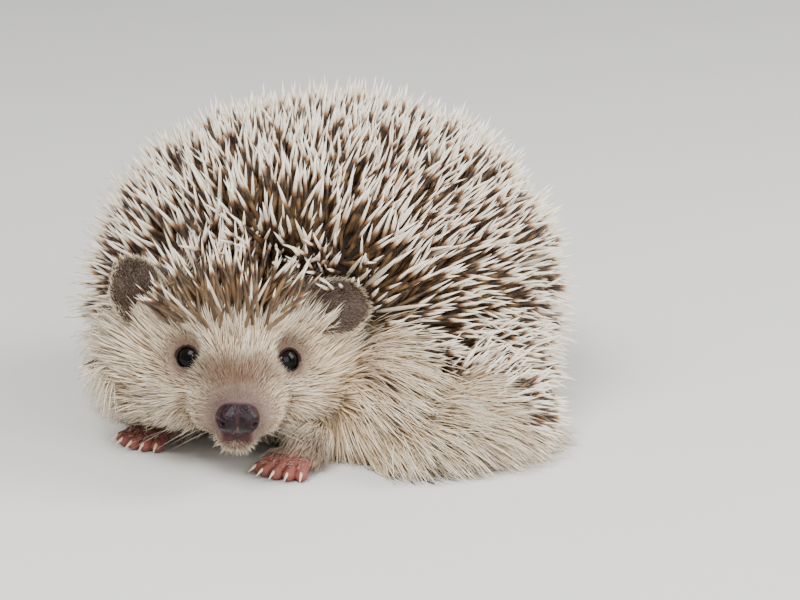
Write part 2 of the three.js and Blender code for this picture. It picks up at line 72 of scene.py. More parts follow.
class Frame:
    """An origin with three axes: across to the animal's left, forward and up."""

    def __init__(self, origin, turn, pitch=0.0, roll=0.0):
        t, p, r = np.radians([turn, pitch, roll])
        level = np.array([np.sin(t), -np.cos(t), 0])
        side = np.array([np.cos(t), np.sin(t), 0])
        upright = level * np.sin(p) + np.array([0, 0, np.cos(p)])
        self.origin = np.asarray(origin, float)
        self.axes = np.array([
            side * np.cos(r) - upright * np.sin(r),
            level * np.cos(p) - np.array([0, 0, np.sin(p)]),
            upright * np.cos(r) + side * np.sin(r),
        ])

    def local(self, p):
        return (p - self.origin) @ self.axes.T

    def place(self, h):
        return self.origin + np.asarray(h, float) @ self.axes

    def aim(self, h):
        return np.asarray(h, float) @ self.axes


HEAD = Frame(EYE_MIDPOINT, HEAD_TURN, HEAD_PITCH, HEAD_ROLL)
print("nose tip (mm):", HEAD.place(NOSE_CENTRE).round(1))

# %% Round shapes and soft unions
def smooth_step(x, low, high):
    """0 below low, 1 above high, smooth between."""
    t = np.clip((x - low) / (high - low), 0, 1)
    return t * t * (3 - 2 * t)


def smooth_fall(x, low, high):
    """1 below low, 0 above high, smooth between."""
    return 1 - smooth_step(x, low, high)


def blend(a, b, k):
    """Union of two shapes with a fillet about k wide."""
    h = np.clip(0.5 + 0.5 * (b - a) / k, 0, 1)
    return b + (a - b) * h - k * h * (1 - h)


def blend_all(k, *shapes):
    whole = shapes[0]
    for shape in shapes[1:]:
        whole = blend(whole, shape, k)
    return whole


def trim(a, b, k):
    """Common part of two shapes with a rounded edge."""
    return -blend(-a, -b, k)


def ellipsoid(p, centre, size):
    q = p - np.asarray(centre, float)
    a = np.linalg.norm(q / np.asarray(size, float), axis=-1)
    b = np.linalg.norm(q / np.square(np.asarray(size, float)), axis=-1)
    return a * (a - 1) / (b + 1e-9)


def limb(p, start, end, start_radius, end_radius):
    start, axis = np.asarray(start, float), np.subtract(end, start)
    t = np.clip((p - start) @ axis / (axis @ axis), 0, 1)
    radius = start_radius + (end_radius - start_radius) * t
    return np.linalg.norm(p - start - t[:, None] * axis, axis=-1) - radius


def mirrored(p):
    return np.abs(p) * [1, 0, 0] + p * [0, 1, 1]


def distance(p, point):
    return np.linalg.norm(p - np.asarray(point, float), axis=-1)


print("where two shapes touch, a fillet of 4 adds", -blend(0.0, 0.0, 4.0), "mm")

# %% [markdown]
# ## Trunk, neck and head
#
# A crouched hedgehog is a loaded spring under a loose cloak: the back is a full dome, the haunches
# swell low at the sides, and on the side it bends to the skin bunches in a fold. The cloak stops
# around the face, so the dome has a bowl cut out of its front and the head sits in that bowl. Each
# lump of flesh is given as the centre and the half sizes of an ellipsoid. The trunk's lumps are in
# the animal's coordinates, and the head's are in the head's: across to its left, forward and up.

# %% The trunk
TRUNK_CENTRE = np.array([0.0, 0.0, 20.0])
TRUNK_HALF_WIDTH, TRUNK_HALF_LENGTH = 37.5, 42.5
TRUNK_ABOVE, TRUNK_BELOW = 36.0, 32.0       # half heights above and below the widest level
TRUNK_FULLNESS = 2.3                        # 2 makes an ellipsoid, and more makes it boxier
HOOD = [0, 12, 0], [34, 39, 27]             # the bowl around the face, in the head's frame
HAUNCH = [26, 6, 9], [19, 22, 12]
FLANK_FOLD = [46, -5, 4], [15, 17, 9]
BELLY_LEVEL, BELLY_EDGE = 2.0, 5
TRUNK_FILLET = 6


def hump(p):
    """A dome that is flatter below its widest level than above it."""
    q = p - TRUNK_CENTRE
    height = np.where(q[:, 2] > 0, TRUNK_ABOVE, TRUNK_BELOW)
    size = np.stack([np.full(len(p), TRUNK_HALF_WIDTH), np.full(len(p), TRUNK_HALF_LENGTH), height], 1)
    r = np.abs(q) / size + 1e-9
    k = (r ** TRUNK_FULLNESS).sum(1) ** (1 / TRUNK_FULLNESS)
    slope = (r / k[:, None]) ** (TRUNK_FULLNESS - 1) / size
    return (k - 1) / (np.linalg.norm(slope, axis=1) + 1e-9)


def hood(h):
    return ellipsoid(h, *HOOD)


def trunk_flesh(p, h):
    back = trim(hump(p), -hood(h), TRUNK_FILLET)
    haunch, fold = ellipsoid(mirrored(p), *HAUNCH), ellipsoid(p, *FLANK_FOLD)
    return trim(blend_all(TRUNK_FILLET, back, haunch, fold), BELLY_LEVEL - p[:, 2], BELLY_EDGE)


print("bare back (mm high):", TRUNK_CENTRE[2] + TRUNK_ABOVE)

# %% The head, and the neck that joins it to the trunk
# in the head's frame
CRANIUM = [0, -13, -1], [14.5, 16.5, 11.5]
CHEEK = [9.5, -8, -6], [8.5, 12, 9]
WHISKER_PAD = [4.0, 8.5, -7], [4.2, 7.5, 3.8]
MUZZLE = [0, -2, -3.5], [0, 16.5, -5.2], 9.3, 4.0       # from, to, and the radius at each end
JAW = [0, -6, -11.5], [0, 12, -9.8], 6, 2.6
COLLAR = [-0.8, -14, -5], [24.2, 12, 15]
NECK_TOP = [0, -17, -3]
# in the animal's own coordinates
NECK_BASE, NECK_RADII = [9.0, -18.0, 22.0], (10, 18)
SHOULDER = [36, -17, 10], [9.5, 10, 11]
CHEST_ARCH = [20, -51, 0], [29, 18, 8]      # cut away, so that air shows under the chest
CHEST_CLEAR, CHEST_EDGE = 1.5, 3
SKULL_FILLET, PAD_FILLET, NECK_FILLET = 5, 3, 6.5


def head_flesh(h):
    m = mirrored(h)
    skull = blend_all(SKULL_FILLET, ellipsoid(h, *CRANIUM), ellipsoid(m, *CHEEK), limb(h, *MUZZLE))
    return blend_all(PAD_FILLET, skull, ellipsoid(m, *WHISKER_PAD), limb(h, *JAW))


def flesh(p, h):
    neck = limb(p, HEAD.place(NECK_TOP), NECK_BASE, *NECK_RADII)
    collar, shoulder = ellipsoid(h, *COLLAR), ellipsoid(p, *SHOULDER)
    rear = blend_all(TRUNK_FILLET, trunk_flesh(p, h), neck, collar, shoulder)
    whole = blend(rear, head_flesh(h), NECK_FILLET)
    return trim(whole, CHEST_CLEAR - ellipsoid(p, *CHEST_ARCH), CHEST_EDGE)


print("muzzle (mm long):", MUZZLE[1][1] - MUZZLE[0][1])

# %% [markdown]
# ## The nose, the lips and the eyelids
#
# A hedgehog's nose is a wet, wide pad with comma-shaped nostrils that open to the sides, and a
# groove runs down its middle to the lip. The lids are a thin ring that hugs the eyeball. Both are
# shapes in the same function, so the skin flows into them with no seam. Creases are made by pushing
# the surface in along a line.

# %% Nose
NOSE_WING = [1.9, 0, -0.3], [2.3, 2.5, 2.4]
NOSE_TOP = [0, -0.6, 0.7], [2.7, 2.5, 2.2]
NOSE_FILLET, NOSTRIL_FILLET = 1.2, 0.4
GROOVE_DEPTH, GROOVE_WIDTH = 0.35, 0.28
NOSTRIL, NOSTRIL_SIZE = [3.0, 1.9, -0.5], [0.6, 1.3, 0.55]
SLIT_END, SLIT_RADII = [4.1, 0.4, 0.1], (0.34, 0.2)


def nose_pad(h):
    n = h - NOSE_CENTRE
    pad = blend(ellipsoid(mirrored(n), *NOSE_WING), ellipsoid(n, *NOSE_TOP), NOSE_FILLET)
    groove = GROOVE_DEPTH * np.exp(-(n[:, 0] / GROOVE_WIDTH) ** 2) * smooth_step(n[:, 1], 0.4, 1.6)
    return pad + groove


def nostrils(h):
    m = mirrored(h - NOSE_CENTRE)
    slit = limb(m, NOSTRIL, SLIT_END, *SLIT_RADII)
    return blend(ellipsoid(m, NOSTRIL, NOSTRIL_SIZE), slit, NOSTRIL_FILLET)


print("nose pad (mm wide):", round(2 * (NOSE_WING[0][0] + NOSE_WING[1][0]), 1))

# %% Lips
LIP_LOBE = [1.75, 16.4, -9.0], [2.1, 2.1, 1.7]
CHIN = [0, 12.8, -11.3], [3.0, 3.4, 1.9]
LIP_FILLET = 0.5
LIP_FRONT, LIP_LEVEL = 14, -10.3            # how far forward and how high the lips meet
LIP_DEPTH, LIP_WIDTH = 0.7, 0.32            # of the crease between them
PHILTRUM_DEPTH, PHILTRUM_WIDTH = 0.5, 0.3


def mouth(h):
    """Two soft lobes of upper lip under the nose, and a short chin."""
    return blend(ellipsoid(mirrored(h), *LIP_LOBE), ellipsoid(h, *CHIN), LIP_FILLET)


def mouth_crease(h):
    """Depth of the line between the lips, and of the groove from it up to the nose."""
    back, down = LIP_FRONT - h[:, 1], -h[:, 2]
    line = LIP_LEVEL + 0.05 * back - 0.012 * back ** 2
    along = smooth_step(h[:, 1], 1.5, 5) * smooth_fall(h[:, 1], 17.5, 19)
    philtrum = np.exp(-(h[:, 0] / PHILTRUM_WIDTH) ** 2) * smooth_step(h[:, 1], 15.5, 17)
    philtrum = philtrum * smooth_step(down, 7.2, 8.2) * smooth_fall(down, 10.2, 11)
    lips = LIP_DEPTH * np.exp(-((h[:, 2] - line) / LIP_WIDTH) ** 2) * along
    return lips + PHILTRUM_DEPTH * philtrum


print("the lips crease in by", LIP_DEPTH, "mm")

# %% Eyelids
EYE_LOOK = unit([0.545, 0.80, 0.17])        # where the left eye looks, in the head's frame
LID_GAP, LID_THICK, LID_EDGE = 0.12, 0.5, 0.5
LID_OPEN = np.radians(51)                   # half angle of the opening between the lids
LID_DROOP = 0.06                            # radians by which the opening narrows at its top
SOCKET_GAP = 0.06


def eyelids(h):
    m = mirrored(h) - EYE
    far = np.linalg.norm(m, axis=1)
    ring = np.abs(far - EYE_RADIUS - LID_GAP - LID_THICK / 2) - LID_THICK / 2
    along = m @ EYE_LOOK
    spread = np.arctan2(np.sqrt(np.maximum(far ** 2 - along ** 2, 0)), along)
    droop = LID_DROOP * m[:, 2] / EYE_RADIUS
    opening = (LID_OPEN - droop - spread) * EYE_RADIUS
    return trim(ring, opening, LID_EDGE)


def from_lid_edge(h):
    """Distance to the circle where the lids end."""
    m = mirrored(h) - EYE
    along = m @ EYE_LOOK
    across = np.linalg.norm(m - along[:, None] * EYE_LOOK, axis=1)
    lid = EYE_RADIUS + LID_GAP + LID_THICK / 2
    return np.hypot(along - lid * np.cos(LID_OPEN), across - lid * np.sin(LID_OPEN))


def eye_socket(h):
    return distance(mirrored(h), EYE) - EYE_RADIUS - SOCKET_GAP


print("the lids open", round(2 * np.degrees(LID_OPEN)), "degrees wide")

# %% [markdown]
# ## Ears
#
# Each ear is a thin cupped leaf. A leaf is easiest to describe in its own directions: along it from
# root to tip, across it, and out of its hollow face. A plate of even thickness is bent into a cup in
# those directions, and its outline is narrow at the root and round at the tip.

# %% Ears as bent plates
EAR_WIDTH, EAR_HEIGHT, EAR_CUP, EAR_THICK = 11.6, 12.6, 2.8, 1.05
EAR_CURL, EAR_RIDGE, EAR_EDGE = 1.6, 0.22, 0.7
EARS = {
    "left": {"side": 1, "root": [13.2, -9.5, 7.5], "out": 80, "lean": 14, "spin": 38},
    "right": {"side": -1, "root": [-19.5, -11.0, 5.2], "out": 16, "lean": 16, "spin": -38},
}


def ear_directions(ear):
    lift, lean, spin = np.radians([ear["out"] * ear["side"], ear["lean"], ear["spin"]])
    up = np.array([np.sin(lift), 0, np.cos(lift)])
    along = unit([up[0] * np.cos(lean), np.sin(lean), up[2] * np.cos(lean)])
    flat = unit(np.cross([0, 1, 0], along))
    facing = unit(np.cross(along, flat))
    across = flat * np.cos(spin) + facing * np.sin(spin)
    return across, along, unit(np.cross(along, across))


EAR_AXES = {name: np.array(ear_directions(ear)) for name, ear in EARS.items()}


def ear_local(h, name):
    """Across, along and out of the hollow face."""
    return (h - np.asarray(EARS[name]["root"])) @ EAR_AXES[name].T


def ear_half_width(t):
    swell = 0.52 + 0.48 * np.sin(np.pi * np.clip(0.12 + t * 0.62, 0, 1))
    rounding = np.sqrt(np.clip(1 - np.clip((t - 0.45) / 0.56, 0, 1) ** 2.4, 0, 1))
    return EAR_WIDTH / 2 * swell * rounding


def ear_plate(h, name):
    e = ear_local(h, name)
    t = e[:, 1] / EAR_HEIGHT
    half = ear_half_width(np.clip(t, 0, 1))
    share = np.clip(e[:, 0] / np.maximum(half, 2.0), -1.3, 1.3)
    thick = EAR_THICK * (1 - 0.25 * np.clip(t, 0, 1))
    ridge = EAR_RIDGE * np.cos(e[:, 0] * 2.1) * smooth_step(t, -0.1, 0.2) * smooth_fall(t, 0.35, 0.7)
    cup = EAR_CUP * (1 - 0.55 * t) * share ** 2
    bowl = cup - EAR_CURL * np.clip(t, 0, 1.1) ** 2 - thick / 2 + ridge
    plate = np.abs(e[:, 2] - bowl) - thick / 2
    outline = np.maximum(np.abs(e[:, 0]) - half, np.maximum(e[:, 1] - EAR_HEIGHT, -e[:, 1] - 3))
    return trim(plate, outline * 0.8, EAR_EDGE)


def ears(h):
    return np.minimum(ear_plate(h, "left"), ear_plate(h, "right"))


for name, ear in EARS.items():
    ear_tip = HEAD.place(ear["root"] + EAR_HEIGHT * EAR_AXES[name][1])
    print(name, "ear tip (mm):", ear_tip.round(1))

# %% [markdown]
# ## Legs, feet and tail
#
# The forelegs are short posts under the chest. Each foot is a palm with a fan of toes, and every toe
# ends in a round pad. Toes are fused with a small fillet, so deep creases stay between them.

# %% Feet
FEET = {
    "front_left": {"at": [37.6, -37.0], "heading": 18},
    "front_right": {"at": [4.0, -46.0], "heading": 10},
    "hind_left": {"at": [30.0, 3.0], "heading": 8},
    "hind_right": {"at": [-30.0, 3.0], "heading": -8},
}
FOOT_FRAMES = {k: Frame([*foot["at"], 0], foot["heading"]) for k, foot in FEET.items()}
FRONT_FOOT = {"palm": [4.1, 5.4, 2.8], "toes": 5, "fan": 50, "toe": 5.2, "thick": 1.3, "claw": 1.9}
HIND_FOOT = {"palm": [4.2, 10.0, 3.0], "toes": 4, "fan": 40, "toe": 6.2, "thick": 1.5, "claw": 2.2}
TOE_LEVEL, TOE_FALL, KNUCKLE_RISE = 2.6, 1.15, 0.35
TOE_PAD_SIZE, TOE_PAD_FALL = [1.15, 1.45, 1.1], 0.35
KNUCKLE_FILLET, TOE_PAD_FILLET, TOE_FILLET = 0.5, 0.4, 0.45
WRINKLE_DEPTH, WRINKLE_TURN = 0.1, 3.4      # mm, and radians to a mm
SOLE_LEVEL, SOLE_EDGE = 0.02, 0.5


def shape_of(name):
    return FRONT_FOOT if "front" in name else HIND_FOOT


def toes_of(shape):
    """Root, tip and aim of each toe in the foot's own frame."""
    width, length, _ = shape["palm"]
    share = np.arange(shape["toes"]) / (shape["toes"] - 1) - 0.5
    angle = np.radians(shape["fan"]) * share
    aim = np.stack([np.sin(angle), np.cos(angle), np.zeros_like(angle)], 1)
    across, level = width * 1.45 * share, np.full_like(share, TOE_LEVEL)
    root = np.stack([across, np.full_like(share, length * 0.45), level], 1)
    reach = shape["toe"] * (1 - 0.85 * share ** 2)
    return root, root + aim * reach[:, None] - [0, 0, TOE_FALL], aim


def foot_flesh(p, name):
    shape = shape_of(name)
    thick = shape["thick"]
    f = FOOT_FRAMES[name].local(p)
    whole = ellipsoid(f, [0, 0, shape["palm"][2] - 0.5], shape["palm"])
    for root, tip, aim in zip(*toes_of(shape)):
        knuckle = (root + tip) / 2 + [0, 0, KNUCKLE_RISE]
        near = limb(f, root, knuckle, thick * 0.95, thick * 0.92)
        far = limb(f, knuckle, tip + aim * 0.9, thick * 0.92, thick * 0.78)
        pad = ellipsoid(f, tip + aim * 0.5 - [0, 0, TOE_PAD_FALL], TOE_PAD_SIZE)
        toe = blend(blend(near, far, KNUCKLE_FILLET), pad, TOE_PAD_FILLET)
        whole = blend(whole, toe, TOE_FILLET)
    wrinkle = WRINKLE_DEPTH * np.sin(f[:, 1] * WRINKLE_TURN) * smooth_step(f[:, 2], 1.5, 3)
    return trim(whole + wrinkle, SOLE_LEVEL - p[:, 2], SOLE_EDGE)


print("toes:", {name: shape_of(name)["toes"] for name in FEET})

# %% Forelegs and tail
WRIST, ELBOW = [0, -1.5, 4.6], np.array([-5, -14, 8.5])     # in the left forefoot's frame
FORELEG_RADII, FORELEG_FILLET = (4.0, 3.0), 1.2
TAIL_LINE, TAIL_RADII = ([0, 38, 8], [0, 57.5, 3.4]), (3.4, 1.5)


def tail(p):
    return limb(p, *TAIL_LINE, *TAIL_RADII)


def limbs_flesh(p):
    whole = tail(p)
    for name, foot in FOOT_FRAMES.items():
        whole = np.minimum(whole, foot_flesh(p, name))
        if "front" in name:
            side = 1 if "left" in name else -1
            leg = limb(p, foot.place(ELBOW * [side, 1, 1]), foot.place(WRIST), *FORELEG_RADII)
            whole = blend(whole, leg, FORELEG_FILLET)
    return whole


tail_length = np.linalg.norm(np.subtract(*TAIL_LINE))
print("tail (mm long):", round(float(tail_length), 1))

# %% [markdown]
# ## The whole animal
#
# The parts meet in order, from the broad flesh to the small features. Each step fuses one part or
# cuts one away, and its last number is the width of the fillet in millimetres. Flesh meets with wide
# fillets and the rims of openings are nearly sharp. The eyeballs' sockets are cut twice, because the
# second fillet would otherwise let the lids grow into the ball.

# %% Distance to the skin
def skin(p):
    """Distance to the skin: below zero inside the animal."""
    h = HEAD.local(p)
    body = flesh(p, h) + mouth_crease(h)
    face = blend(blend(body, mouth(h), 0.9), nose_pad(h), 0.7)
    face = trim(face, -nostrils(h), 0.3)
    face = blend(face, ears(h), 1.4)
    face = blend(trim(face, -eye_socket(h), 0.4), eyelids(h), 0.8)
    face = np.maximum(face, -eye_socket(h))
    return blend(face, limbs_flesh(p), 1.5)


print("the middle of the trunk is", round(-float(skin(TRUNK_CENTRE[None])[0]), 1), "mm inside")

# %% [markdown]
# ## From function to skin
#
# The surface is where the function is zero. To find it, the function is read on a grid of small
# cells, but only in blocks that the surface can pass through, which saves nine tenths of the work.
# OpenVDB then lays one closed quad mesh through the grid and merges cells where the form is calm,
# so small triangles stay on the face and feet. A last step slides every vertex along the gradient
# exactly onto the surface.

# %% Sample the function near the surface
SKIN_STEP = 0.45     # grid spacing in millimetres
SKIN_CALM = 0.004                           # how readily OpenVDB merges calm cells
SKIN_LOW, SKIN_HIGH = np.array([-52.0, -72.0, -1.4]), np.array([70.0, 66.0, 60.0])
BLOCK = 4                                   # cells along a block
NEAR_BLOCK = 1.25                           # how near the surface a block is read in full, in blocks


def in_batches(function, p, size=150000):
    return np.concatenate([function(p[i:i + size]) for i in range(0, len(p), size)])


def sample_near_surface(function, low, high, step):
    blocks = np.ceil((high - low) / step / BLOCK).astype(int)
    middle = [low[i] + ((np.arange(blocks[i]) + 0.5) * BLOCK - 0.5) * step for i in range(3)]
    centres = np.stack(np.meshgrid(*middle, indexing="ij"), -1).reshape(-1, 3)
    rough = in_batches(function, centres)
    volume = rough.reshape(blocks).astype(np.float32)
    for axis in range(3):
        volume = np.repeat(volume, BLOCK, axis)
    near = np.nonzero(np.abs(rough) < NEAR_BLOCK * BLOCK * step)[0]
    first = np.stack(np.unravel_index(near, blocks), 1) * BLOCK
    inner = np.stack(np.meshgrid(*[np.arange(BLOCK)] * 3, indexing="ij"), -1).reshape(-1, 3)
    cells = (first[:, None, :] + inner[None]).reshape(-1, 3)
    volume[tuple(cells.T)] = in_batches(function, low + cells * step)
    return volume


all_cells = int(np.prod((SKIN_HIGH - SKIN_LOW) / SKIN_STEP))
print("the whole grid would have", all_cells, "cells")

# %% Lay a mesh on the samples
SLIDES = 2                                  # times that each vertex slides towards the surface


def gradient(function, p, reach=0.2):
    steps = np.eye(3) * reach
    return np.stack([function(p + s) - function(p - s) for s in steps], -1) / (2 * reach)


def polygonise(function, low, high, step, calm):
    grid = openvdb.FloatGrid()
    grid.copyFromArray(sample_near_surface(function, low, high, step))
    points, triangles, quads = grid.convertToPolygons(0.0, calm)
    points = low + np.asarray(points, float) * step
    for _ in range(SLIDES):
        slope = in_batches(lambda q: gradient(function, q), points)
        push = in_batches(function, points) / np.maximum((slope ** 2).sum(1), 0.25)
        points = points - np.clip(push, -0.5 * step, 0.5 * step)[:, None] * slope
    return points, [*np.asarray(triangles), *np.asarray(quads)], unit(slope)


skin_points, skin_faces, skin_normals = polygonise(skin, SKIN_LOW, SKIN_HIGH, SKIN_STEP, SKIN_CALM)
skin_points[:, 2] = np.maximum(skin_points[:, 2], 0)
print("skin:", len(skin_points), "vertices,", len(skin_faces), "faces")

# %% [markdown]
# ## Regions of the coat
#
# One set of functions says where quills grow, how deep the coat is and how the skin is coloured, so
# skin and coat always carry the same markings. Each marking is a number from 0 to 1 that is stored
# on the skin's vertices. Whatever grows on the skin later picks it up at its root.

# %% Where the quills are and how deep their coat is
QUILL_SOURCE = np.array([0.0, 9.0, 2.0])    # quills radiate from here, in the head's frame
SKIRT_FRONT, SKIRT_REAR = 19.0, 5.0         # height of the quills' lower edge, in mm
SKIRT_FADE = 2.5                            # mm over which that edge fades, up and down


def past_brow(h):
    """How far behind the forehead's hairline a point lies, in mm."""
    return -h[:, 1] + 0.55 * (h[:, 2] - 8) - 0.022 * h[:, 0] ** 2


def valley_of(p, h):
    """1 in the dip between the crown and the dome of the back."""
    rim = hood(h)
    return smooth_step(rim, -9, -3) * smooth_fall(rim, 5, 13) * smooth_step(p[:, 2], 22, 32)


def quill_mantle(p, h):
    """Where quills grow, from 0 to 1, and where their coat is deep."""
    rim, behind_brow = hood(h), past_brow(h)
    between_ears = smooth_fall(np.abs(h[:, 0]), 12, 17)
    crown = smooth_step(behind_brow, -8, -1) * between_ears
    front = smooth_step(rim, -6, 2) * smooth_step(p[:, 2], 24, 34)
    deep = np.max([smooth_step(rim, -2, 16), crown, front], axis=0)
    clear_of_eye = smooth_step(h[:, 2], 3.0, 5.5)
    forehead = smooth_step(behind_brow, -4.5, -0.5) * between_ears * clear_of_eye
    mantle = np.maximum(smooth_step(rim, -5, -1), forehead)
    skirt = SKIRT_REAR + (SKIRT_FRONT - SKIRT_REAR) * smooth_step(-p[:, 1], -1, 19)
    above_skirt = smooth_step(p[:, 2], skirt - SKIRT_FADE, skirt + SKIRT_FADE)
    return mantle * above_skirt * smooth_step(tail(p), 0.2, 1.8), deep


crown_share, _ = quill_mantle(HEAD.place([[0, -14, 10]]), np.array([[0, -14, 10]]))
print("quills on the crown:", round(float(crown_share[0]), 2))

# %% Where the ears, toes and creases are
EAR_REACH = 0.6                             # mm from an ear's surface that still count as the ear


def on_ear(h, name):
    return ear_plate(h, name) < EAR_REACH


def ear_rim(h):
    """1 along the free edge of each ear."""
    rim = np.zeros(len(h))
    for name in EARS:
        e = ear_local(h, name)
        half = ear_half_width(np.clip(e[:, 1] / EAR_HEIGHT, 0, 1))
        edge = np.maximum(np.abs(e[:, 0]) - half, e[:, 1] - EAR_HEIGHT)
        rim = np.maximum(rim, on_ear(h, name) * smooth_step(edge, -0.9, -0.1))
    return rim


def toe_line(p, name):
    """Grows behind the toes, where the top of the foot is furred."""
    f = FOOT_FRAMES[name].local(p)
    return 0.8 * np.maximum(0, 2.6 - f[:, 1]) * smooth_step(f[:, 2], 0.8, 2.2)


def hollow(p, reach=0.45):
    """1 in creases, 0 on flat and bulging skin."""
    around = sum(skin(p + step) + skin(p - step) for step in np.eye(3) * reach)
    return smooth_step(6 * skin(p) - around, 0.06, 0.34)


ear_vertices = sum(on_ear(HEAD.local(skin_points), name).sum() for name in EARS)
print("vertices on the ears:", int(ear_vertices))

# %% The markings, each from 0 to 1
LIP_MIDDLE, NOSE_FOOT = [1.1, 17.3, -9.1], [0, 17.9, -7.9]      # places in the head's frame
MUZZLE_TOP, BRIDGE = NOSE_CENTRE + [0, 0.5, 0.8], [0, 12.0, 0.2]
EYE_CORNER = [EYE_SIDE - 2.3, 3.0, -1.9]
WARM_CHEEK, WARM_SHOULDER = [17, -4, -7], [6, -14, 4]           # the second in the forefoot's frame


def markings_of(p):
    h = HEAD.local(p)
    m = mirrored(h)
    mantle, _ = quill_mantle(p, h)
    by_eye = distance(m, EYE)
    toes = np.min([foot_flesh(p, name) + toe_line(p, name) for name in FEET], axis=0)
    wrists = np.min([distance(p, foot.place([0, 0, 2])) for foot in FOOT_FRAMES.values()], axis=0)
    ear_foot = np.min([distance(h, ear["root"]) for ear in EARS.values()], axis=0)
    bent = np.stack([0.42 * h[:, 0], h[:, 1] + 0.62 * m[:, 0], 0.8 * h[:, 2]], 1)
    shoulder = FOOT_FRAMES["front_left"].place(WARM_SHOULDER)
    return {
        "mantle": mantle * smooth_step(ears(h), 1.0, 3.2) * smooth_step(by_eye, 5, 6.5),
        "brow": smooth_fall(past_brow(h), 1, 9) * smooth_fall(m[:, 0], 14, 19),
        "nose": smooth_fall(np.minimum(nose_pad(h), distance(m, NOSE_FOOT) - 0.9), 0.3, 0.75),
        "lip": smooth_fall(distance(m, LIP_MIDDLE), 1.6, 2.7),
        "rim": smooth_fall(np.minimum(from_lid_edge(h), by_eye - EYE_RADIUS), 0.25, 0.58),
        # painted shade: brown at the inner corner of the eye, round the eye, and under the ears
        "dusky": np.max([                   # the inner corner of the eye, round it, and under the ears
            smooth_fall(distance(m, EYE_CORNER), 1.0, 4.0),
            0.85 * smooth_fall(by_eye, 3.7, 5.4),
            0.75 * smooth_fall(ear_foot, 3.0, 6.5)], axis=0),
        "ear": smooth_fall(ears(h), 0.3, 1.4),
        "fringe": ear_rim(h),
        "paw": smooth_fall(toes, 0.1, 1.6),
        "hollow": hollow(p),
        "wrist": smooth_fall(wrists, 4, 9),
        "bare": smooth_fall(distance(h, MUZZLE_TOP), 4.2, 12.0),
        "bridge": smooth_fall(distance(bent, BRIDGE), 1.4, 5.4),
        "warm": np.maximum(
            smooth_fall(distance(p, shoulder), 3, 13),
            0.5 * smooth_fall(distance(h, WARM_CHEEK), 3, 12)),
    }


MARK_BATCH = 100000                         # vertices marked at a time
skin_marks = {}
for start in range(0, len(skin_points), MARK_BATCH):
    for key, value in markings_of(skin_points[start:start + MARK_BATCH]).items():
        skin_marks[key] = np.concatenate([skin_marks.get(key, np.zeros(0)), value])
print("share of the skin under quills:", round(float(skin_marks["mantle"].mean()), 2))

# %% [markdown]
# ## The lie of the coat
#
# Quills radiate over the back from the brow. Fur flows away from the muzzle, back over the cheeks
# and brow, and falls towards the floor on the flanks. A direction along the skin is a flow vector
# with its part along the normal taken out. Hair rises from the skin by the angle whose sine is the
# coat's depth over the hair's length, so long hair in a thin coat lies flat. Waves in the flow and
# clumps of tips that lean together keep the coat from looking combed.

# %% Directions along the skin
CLUMP_HASH = [[12.9, 26.6, 53.3], [78.2, 37.7, 19.1], [45.1, 94.7, 63.9]]   # scatters clump middles
CLUMP_GAIN = 4375.8
WAVES_IN_FIELD, WAVE_SCALE = 6, 1.6


def along_skin(flow, normals):
    return unit(flow - (flow * normals).sum(1, keepdims=True) * normals)


def risen(tangent, normals, rise):
    """The direction that leaves the skin at the angle whose sine is rise."""
    rise = np.clip(rise, 0, 0.95)[:, None]
    return tangent * np.sqrt(1 - rise ** 2) + normals * rise


def waves(p, length, seed):
    """A smooth random vector field, each part about -1 to 1, with waves of about that length."""
    draw = np.random.default_rng(seed)
    field = np.zeros_like(p)
    for _ in range(WAVES_IN_FIELD):
        direction = unit(draw.normal(size=3)) * 2 * np.pi / (length * draw.uniform(0.7, 1.4))
        field += np.sin(p @ direction + draw.uniform(0, 6.28))[:, None] * unit(draw.normal(size=3))
    return field / WAVE_SCALE


def gathered(p, normals, lie, length, size, pull):
    """Bends the lie so that tips lean towards the middle of their clump, size mm across."""
    cell = np.floor(p / size)
    nearest, reach = np.zeros_like(p), np.full(len(p), np.inf)
    for step in np.stack(np.meshgrid(*[[-1, 0, 1]] * 3), -1).reshape(-1, 3):
        corner = cell + step
        jitter = np.sin(corner @ CLUMP_HASH) * CLUMP_GAIN
        toward = (corner + jitter % 1) * size - p
        far = np.linalg.norm(toward, axis=1)
        closer = far < reach
        nearest[closer], reach[closer] = toward[closer], far[closer]
    toward = nearest - (nearest * normals).sum(1, keepdims=True) * normals
    return unit(lie + pull * toward / length[:, None])


half_risen = risen(np.array([[1.0, 0, 0]]), np.array([[0, 0, 1.0]]), np.array([0.5]))[0]
print("a rise of 0.5 lifts hair", round(float(np.degrees(np.arcsin(half_risen[2])))), "degrees off the skin")

# %% Length and direction of the quills
QUILL_SHORT, QUILL_LONG = 10.5, 11.7        # mm, at the lower edge and on the back
QUILLS_FRONT, QUILLS_BACK = 3.5, 10.0       # depth of their coat in mm, where shallow and where deep
VALLEY_EXTRA = 2.5                          # mm by which quills are longer in the dip


def misses_ears(p, lie, length):
    """1 where a quill of that lie and length passes clear of the ears."""
    stations = [p + lie * (length * share)[:, None] for share in (0.35, 0.6, 0.8, 1.0)]
    return smooth_step(np.min([ears(HEAD.local(point)) for point in stations], axis=0), 0.3, 1.1)


